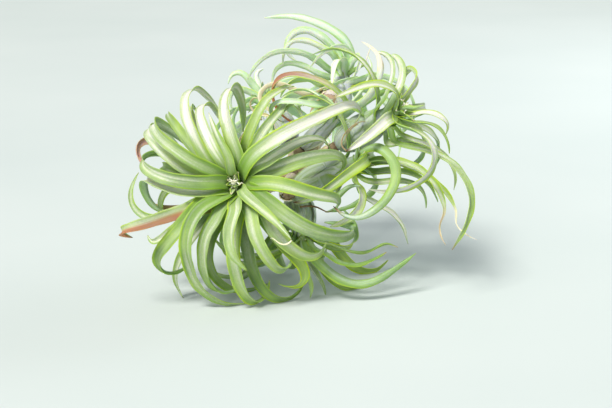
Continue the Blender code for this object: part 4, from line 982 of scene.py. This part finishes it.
def lay_core(bm, name):
    """The inner bulb under the sheaths, turned on its own axis, as the first form in an empty mesh.
    It widens below the mouth to close the gaps among the leaf bases there."""
    foot, _, axis, height = bulb_line(name)
    profile = [bm.verts.new((0, 0, 0))]
    for share in np.linspace(0, PLUG, 14):
        radius = bulb_radius(name, share) + LAYERS[0] - CORE_SINK
        profile.append(bm.verts.new((radius, 0, share * height)))
    profile.append(bm.verts.new((bulb_radius(name, PLUG) - 0.0004, 0, (PLUG + 0.02) * height)))
    profile.append(bm.verts.new((0, 0, height)))
    edges = [bm.edges.new(pair) for pair in zip(profile, profile[1:])]
    bmesh.ops.spin(bm, geom=profile + edges, axis=(0, 0, 1), cent=(0, 0, 0), angle=math.tau,
                   steps=CORE_SIDES, use_merge=True)
    bmesh.ops.remove_doubles(bm, verts=bm.verts[:], dist=1e-6)
    bmesh.ops.recalc_face_normals(bm, faces=bm.faces[:])
    weight, bloom = bm.verts.layers.deform.verify(), bm.verts.layers.float["bloom"]
    grain = bm.verts.layers.float_vector["grain"]
    radius = bulb_radius(name, 0.5)
    for vert in bm.verts:
        turned = abs(math.atan2(vert.co.y, vert.co.x)) * radius
        vert[grain] = (turned * MM, vert.co.z * MM, 0)
        vert[weight][0] = 0.4
        vert[bloom] = BULB_BLOOM * (1 - smooth_step(0.84, PLUG, vert.co.z / height))
    turn = Vector((0, 0, 1)).rotation_difference(Vector(axis)).to_matrix().to_4x4()
    bmesh.ops.transform(bm, matrix=Matrix.Translation(Vector(foot)) @ turn, verts=bm.verts[:])
    for face in bm.faces:
        face.smooth = True


def put(name, data, spot=(0, 0, 0), way=None):
    """An object in the scene. A light or a camera there looks along the given way."""
    made = bpy.data.objects.new(name, data)
    made.location = spot
    if way is not None:
        made.rotation_euler = Vector(way).to_track_quat("-Z", "Y").to_euler()
    bpy.context.scene.collection.objects.link(made)
    return made


def put_mesh(name, bm, skins):
    mesh = bpy.data.meshes.new(name)
    bm.to_mesh(mesh)
    bm.free()
    for skin in skins:
        mesh.materials.append(skin)
    return put(name, mesh)


def foliage_piece(name, all_rows, skins, core=None):
    """Leaves as one object, over the inner bulb of a head where one is named."""
    bm = new_foliage()
    if core:
        lay_core(bm, core)
    for rows in all_rows:
        lay_leaf(bm, rows)
    piece = put_mesh(name, bm, skins)
    piece.vertex_groups.new(name="wall")
    wall = piece.modifiers.new("Wall", "SOLIDIFY")
    wall.thickness = BLADE_WALL
    wall.offset = 0
    wall.vertex_group = "wall"
    wall.material_offset = 1
    wall.material_offset_rim = 0
    return piece


# ---------------------------------------------------------------- materials

def linear(code):
    """An sRGB hex colour as linear light."""
    values = [int(code[i:i + 2], 16) / 255 for i in (1, 3, 5)]
    return tuple(v / 12.92 if v <= 0.04045 else ((v + 0.055) / 1.055) ** 2.4 for v in values) + (1,)


def add_node(tree, kind, settings=None, inputs=None):
    """One node: settings are its own properties, inputs are values or the sockets that feed it."""
    node = tree.nodes.new("ShaderNode" + kind)
    for name, value in (settings or {}).items():
        setattr(node, name, value)
    for name, value in (inputs or {}).items():
        if isinstance(value, bpy.types.NodeSocket):
            tree.links.new(value, node.inputs[name])
        else:
            node.inputs[name].default_value = value
    return node


def new_material(name, **constants):
    """A material with its shader; what is the same all over is set on the shader's own sockets."""
    material = bpy.data.materials.new(name)
    material.use_nodes = True
    shader = material.node_tree.nodes["Principled BSDF"]
    for socket, value in constants.items():
        shader.inputs[socket.replace("_", " ")].default_value = value
    return material, material.node_tree, shader


def colour_ramp(tree, factor, *stops):
    node = add_node(tree, "ValToRGB", inputs={"Fac": factor})
    ramp = node.color_ramp
    while len(ramp.elements) < len(stops):
        ramp.elements.new(0.5)
    for element, (at, code) in zip(ramp.elements, stops):
        element.position = at
        element.color = linear(code)
    return node.outputs["Color"]


def blend_colours(tree, factor, low, high):
    """From low to high by the factor. A colour is a hex code or the socket that feeds it."""
    low, high = (linear(colour) if isinstance(colour, str) else colour for colour in (low, high))
    return add_node(tree, "Mix", {"data_type": "RGBA"}, {0: factor, 6: low, 7: high}).outputs[2]


def sums(tree, operation, first, second, third=0.0):
    node = add_node(tree, "Math", {"operation": operation}, {0: first, 1: second, 2: third})
    return node.outputs[0]


def product(tree, first, *others):
    """All of them multiplied."""
    for other in others:
        first = sums(tree, "MULTIPLY", first, other)
    return first


def rising(tree, value, low, high, bottom=0.0, top=1.0):
    """A smooth change from bottom to top as the value goes from low to high."""
    return add_node(tree, "MapRange", {"interpolation_type": "SMOOTHSTEP"}, {
        "Value": value, "From Min": low, "From Max": high,
        "To Min": bottom, "To Max": top}).outputs[0]


def known(tree, name):
    """What the surface knows about itself at each point."""
    return add_node(tree, "Attribute", {"attribute_name": name}).outputs["Fac"]


def noise(tree, vector, scale, detail=2.0, roughness=0.5):
    return add_node(tree, "TexNoise", {"noise_dimensions": "3D"}, {
        "Vector": vector, "Scale": scale, "Detail": detail, "Roughness": roughness}).outputs["Fac"]


def part_noise(tree, scale, detail=2.0, roughness=0.5):
    """Noise that is fixed to the part's own metres."""
    return noise(tree, add_node(tree, "TexCoord").outputs["Object"], scale, detail, roughness)


def grain_noise(tree, across, along, detail, roughness=0.5):
    """Noise that is fixed to a leaf's own millimetres, scaled across and along it."""
    grain = add_node(tree, "Attribute", {"attribute_name": "grain"}).outputs["Vector"]
    scaled = add_node(tree, "Mapping", inputs={"Vector": grain, "Scale": (across, along, 1.0)})
    return noise(tree, scaled.outputs[0], 1.0, detail, roughness)


def bump(tree, height, strength, distance, normal=None):
    inputs = {"Height": height, "Strength": strength, "Distance": distance}
    return add_node(tree, "Bump", inputs=inputs | ({"Normal": normal} if normal else {})).outputs[0]


def leaf_skin(name, base, greens, dull_silver, silver, rims, gain, floor, low, end):
    """Living leaf of a tillandsia: a green skin under grey-white water scales.

    The scales give it a dry, silvery, slightly furry surface with no gloss. The rims are thin
    and let light through, and the yellow green glow of that light is also painted on one rim, as is a
    painted highlight down the middle of the blade and on one half of it. Fine veins run the length
    of the blade.
    """
    material, tree, shader = new_material(
        name, Metallic=0.0, IOR=1.42, Specular_IOR_Level=0.3, Sheen_Weight=0.12,
        Sheen_Roughness=0.45, Subsurface_Weight=0.6, Subsurface_Scale=0.0018,
        Subsurface_Radius=(0.8, 1.0, 0.25))
    reach, bloom, flush, rim, tint = (known(tree, name) for name in
                                      ("reach", "bloom", "flush", "rim", "tint"))
    # veins 0.5 mm apart are too fine to show, so they are drawn at 2 mm
    veins = grain_noise(tree, 0.5, 0.014, 2.0, 0.55)
    # one half of a blade is painted greener for most of its length, a painted glow of light through
    # it, and the other half is painted lit and more silver
    painted_glow_half = grain_noise(tree, 0.2, 0.012, 1.0)
    # scales of 0.2 mm are too fine to show, so their clusters are drawn at 0.9 mm
    scurf = grain_noise(tree, 1.1, 0.45, 3.0, 0.7)
    # broad patches of 25 mm
    patches = part_noise(tree, 40.0)

    tone = sums(tree, "MULTIPLY_ADD", veins, 0.75, sums(tree, "MULTIPLY_ADD", patches, 0.6, -0.17))
    tone = sums(tree, "MULTIPLY_ADD", tint, 0.13, tone)
    skin = colour_ramp(tree, tone, (0.25, greens[0]), (0.5, greens[1]), (0.78, greens[2]))
    skin = blend_colours(tree, rising(tree, reach, 0.1, 0.42), base, skin)

    # grey-white scales lie thickest where there is bloom and on ridges; the middle of the blade is
    # painted whiter still, a painted highlight along its channel, and a painted lit half is whiter
    scales_and_painted_light = product(
        tree, sums(tree, "MULTIPLY_ADD", bloom, gain, floor),
        sums(tree, "MAXIMUM", rising(tree, reach, 0.1, 0.45, low, 1.0),
             rising(tree, bloom, 0.5, 0.8)),
        rising(tree, scurf, 0.3, 0.7, 0.8, 1.12), rising(tree, veins, 0.35, 0.65, 1.4, 0.6),
        # painted highlight: whiter in the middle of the blade, greener towards the rims
        rising(tree, rim, 0.25, 0.9, 1.15, 0.4),
        # painted light: the painted lit half takes more scales than the painted glowing half
        sums(tree, "MAXIMUM", rising(tree, painted_glow_half, 0.4, 0.62, 1.2, 0.5),
             rising(tree, bloom, 0.6, 0.9)),
        rising(tree, reach, 0.45, 0.8, 1.0, end))
    whiteness = product(tree, rising(tree, bloom, 0.35, 0.8), rising(tree, reach, 0.1, 0.4))
    skin = blend_colours(tree, scales_and_painted_light, skin, blend_colours(tree, whiteness, dull_silver, silver))

    # the flush of a leaf that takes much sun, muted to brown and pink under the scales
    red = colour_ramp(tree, tone, (0.25, "#a4452e"), (0.5, "#cb6e4c"), (0.8, "#e09a76"))
    red = blend_colours(tree, rising(tree, bloom, 0.3, 0.7), red, "#9a624b")
    red = blend_colours(tree, rising(tree, bloom, 0.75, 1.0), red, "#c27f7c")
    reddened = product(tree, flush, sums(tree, "MULTIPLY_ADD", patches, 0.6, 0.6))
    skin = blend_colours(tree, reddened, skin, red)

    # the bright rim is a pale line on one side of a leaf and swells to 2 mm of yellow green on the
    # other, and it is stronger on some leaves than on others; the yellow green band is painted glow
    # of light through the thin rim, on the painted glowing half
    painted_glow_band = sums(tree, "MULTIPLY_ADD", painted_glow_half, 0.9, rim)
    painted_rim_glow = product(tree, rising(tree, painted_glow_band, 1.22, 1.58), rising(tree, tint, -0.9, 0.9, 0.35, 1.0),
                   sums(tree, "SUBTRACT", 1.0, flush))
    line = blend_colours(tree, rising(tree, painted_glow_half, 0.4, 0.56), *rims)
    skin = blend_colours(tree, painted_rim_glow, skin, line)

    # where the leaf is dead it is brown, straw or cream
    husk = sums(tree, "SUBTRACT", known(tree, "straw"), 0.25)
    husk = sums(tree, "MULTIPLY_ADD", veins, 0.5, husk)
    straw = colour_ramp(tree, husk, (0.0, "#54382a"), (0.35, "#8a6a52"), (0.65, "#c2aa8b"),
                        (0.95, "#efe6cc"))
    skin = blend_colours(tree, known(tree, "dry"), skin, straw)
    tree.links.new(skin, shader.inputs["Base Color"])
    tree.links.new(rising(tree, scurf, 0.3, 0.7, 0.5, 0.72), shader.inputs["Roughness"])
    ridges = bump(tree, veins, 0.5, 0.0008)
    tree.links.new(bump(tree, scurf, 0.25, 0.0002, ridges), shader.inputs["Normal"])
    return material


def frayed_threads():
    """Frayed ends of leaf rims and young leaf tips: papery, dead white, they let light through."""
    material, tree, shader = new_material("frayed_white_threads", Metallic=0.0, IOR=1.4,
                                          Specular_IOR_Level=0.2, Roughness=0.8)
    straw = rising(tree, known(tree, "reach"), 0.6, 1.0)
    tree.links.new(blend_colours(tree, straw, "#fbfaf2", "#efe3c2"), shader.inputs["Base Color"])
    return material


def old_bark():
    """Old stem of a clump: the dead leaf bases of past years, dry, brown and ringed."""
    material, tree, shader = new_material("dry_leaf_base_bark", Metallic=0.0, IOR=1.45,
                                          Specular_IOR_Level=0.25, Roughness=0.85)
    flakes = part_noise(tree, 260.0, 4.0, 0.65)     # flakes of 4 mm
    broad = product(tree, part_noise(tree, 60.0), 0.35)
    tone = sums(tree, "MULTIPLY_ADD", flakes, 0.7, broad)
    tree.links.new(colour_ramp(tree, tone, (0.35, "#5d4c3a"), (0.55, "#8e7d64"), (0.75, "#b8a888")),
                   shader.inputs["Base Color"])
    tree.links.new(bump(tree, flakes, 0.8, 0.0015), shader.inputs["Normal"])
    return material


def matt_floor():
    """Matt white paper sweep: it only gives the plant soft light from below and a soft shadow."""
    material, tree, shader = new_material("matt_paper_floor", Metallic=0.0, Specular_IOR_Level=0.1,
                                          Roughness=0.9)
    mottle = colour_ramp(tree, part_noise(tree, 3.0), (0.3, "#ccd5d6"), (0.7, "#d1d9da"))
    tree.links.new(mottle, shader.inputs["Base Color"])
    return material


# ---------------------------------------------------------------- stage, light and camera

def add_floor():
    bm = bmesh.new()
    bmesh.ops.create_grid(bm, x_segments=1, y_segments=1, size=FLOOR_HALF)
    floor = put_mesh("floor", bm, [matt_floor()])
    floor.location.z = -FLOOR_SINK


def add_lamp(name, kind, spot, way, power, colour, **settings):
    """A light that shines along the given way: settings are the lamp's own."""
    lamp = bpy.data.lights.new(name, kind)
    lamp.energy = power
    lamp.color = linear(colour)[:3]
    for setting, value in settings.items():
        setattr(lamp, setting, value)
    put(name, lamp, spot, way)


def add_disk(name, spot, size, power, colour):
    """A round panel of light that is turned to the plant."""
    add_lamp(name, "AREA", spot, Vector(PLANT_MIDDLE) - Vector(spot), power, colour,
             shape="DISK", size=size)


def add_world():
    world = bpy.data.worlds.new("studio")
    world.use_nodes = True
    back = world.node_tree.nodes["Background"]
    back.inputs["Color"].default_value = linear("#e4ecef")
    back.inputs["Strength"].default_value = 0.34
    bpy.context.scene.world = world


def add_camera():
    lens = bpy.data.cameras.new("eye")
    lens.sensor_width = SENSOR
    lens.sensor_fit = "HORIZONTAL"
    lens.lens = SENSOR * EYE_DISTANCE / IMAGE_WIDTH
    lens.clip_start = 0.01
    lens.clip_end = 50
    target = Vector(place((*SHEET_MIDDLE, 0)))
    away = Vector(AWAY)
    bpy.context.scene.camera = put("eye", lens, target - away * EYE_DISTANCE * SQUARE, away)


# ---------------------------------------------------------------- the plant

def finished(piece, slot, *replaced):
    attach(piece, "root")
    if replaced:
        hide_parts(*replaced)


def grow():
    leaves = all_leaves()
    plants = Foliage(leaves)
    relax(plants, stem_branches())
    layer = head_layers(plants, leaves)
    rng = random.Random(SEED)
    skins = {look: [leaf_skin(*row) for row in pair] for look, pair in SKINS.items()}
    for name, head in HEADS.items():
        mine = [k for k, home in enumerate(plants.home) if home == name]
        all_rows = (leaf_rows(plants, leaves, k, layer[k], rng) for k in mine)
        piece = foliage_piece(name + "_leaves", all_rows, skins[head.look], name)
        finished(piece, "leaf_" + head.look, name)
    threads = [frayed_threads()] * 2
    for name, young, frayed, size, proud, lean, width in HEARTS:
        _, heart, axis, _ = bulb_line(name)
        middle = heart + axis * proud
        all_rows = young_rows(middle, axis, bulb_radius(name, 1), young, size, lean, rng)
        finished(foliage_piece(name + "_heart", all_rows, skins["green"]), "leaf_pale")
        all_rows = frayed_rows(middle, axis, frayed, size, width, rng)
        finished(foliage_piece(name + "_frayed_threads", all_rows, threads), "leaf_pale")
    all_rows = [ribbon_rows([place(p) for p in points], width * SQUARE, State(dry=0, straw=straw),
                            rng, 24, 4, 1.0, 0.5) for width, straw, points in THREADS]
    all_rows += stem_scale_rows(rng)
    finished(foliage_piece("dry_remains", all_rows, skins["green"]), "old_wood")


grow()
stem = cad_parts["old_stem"]
stem.data.materials.clear()
stem.data.materials.append(old_bark())
add_floor()
add_world()
add_lamp("key", "SUN", -Vector(SUN_WAY) * FAR_OFF, SUN_WAY, 3.5, "#fffcf2", angle=math.radians(18))
add_disk("right", (1.3, 0.9, 0.8), 0.9, 9, "#f4fbff")
add_disk("front", (-0.6, -1.7, 0.75), 1.4, 10, "#fffef8")
add_camera()
bpy.context.scene.view_settings.view_transform = "Standard"
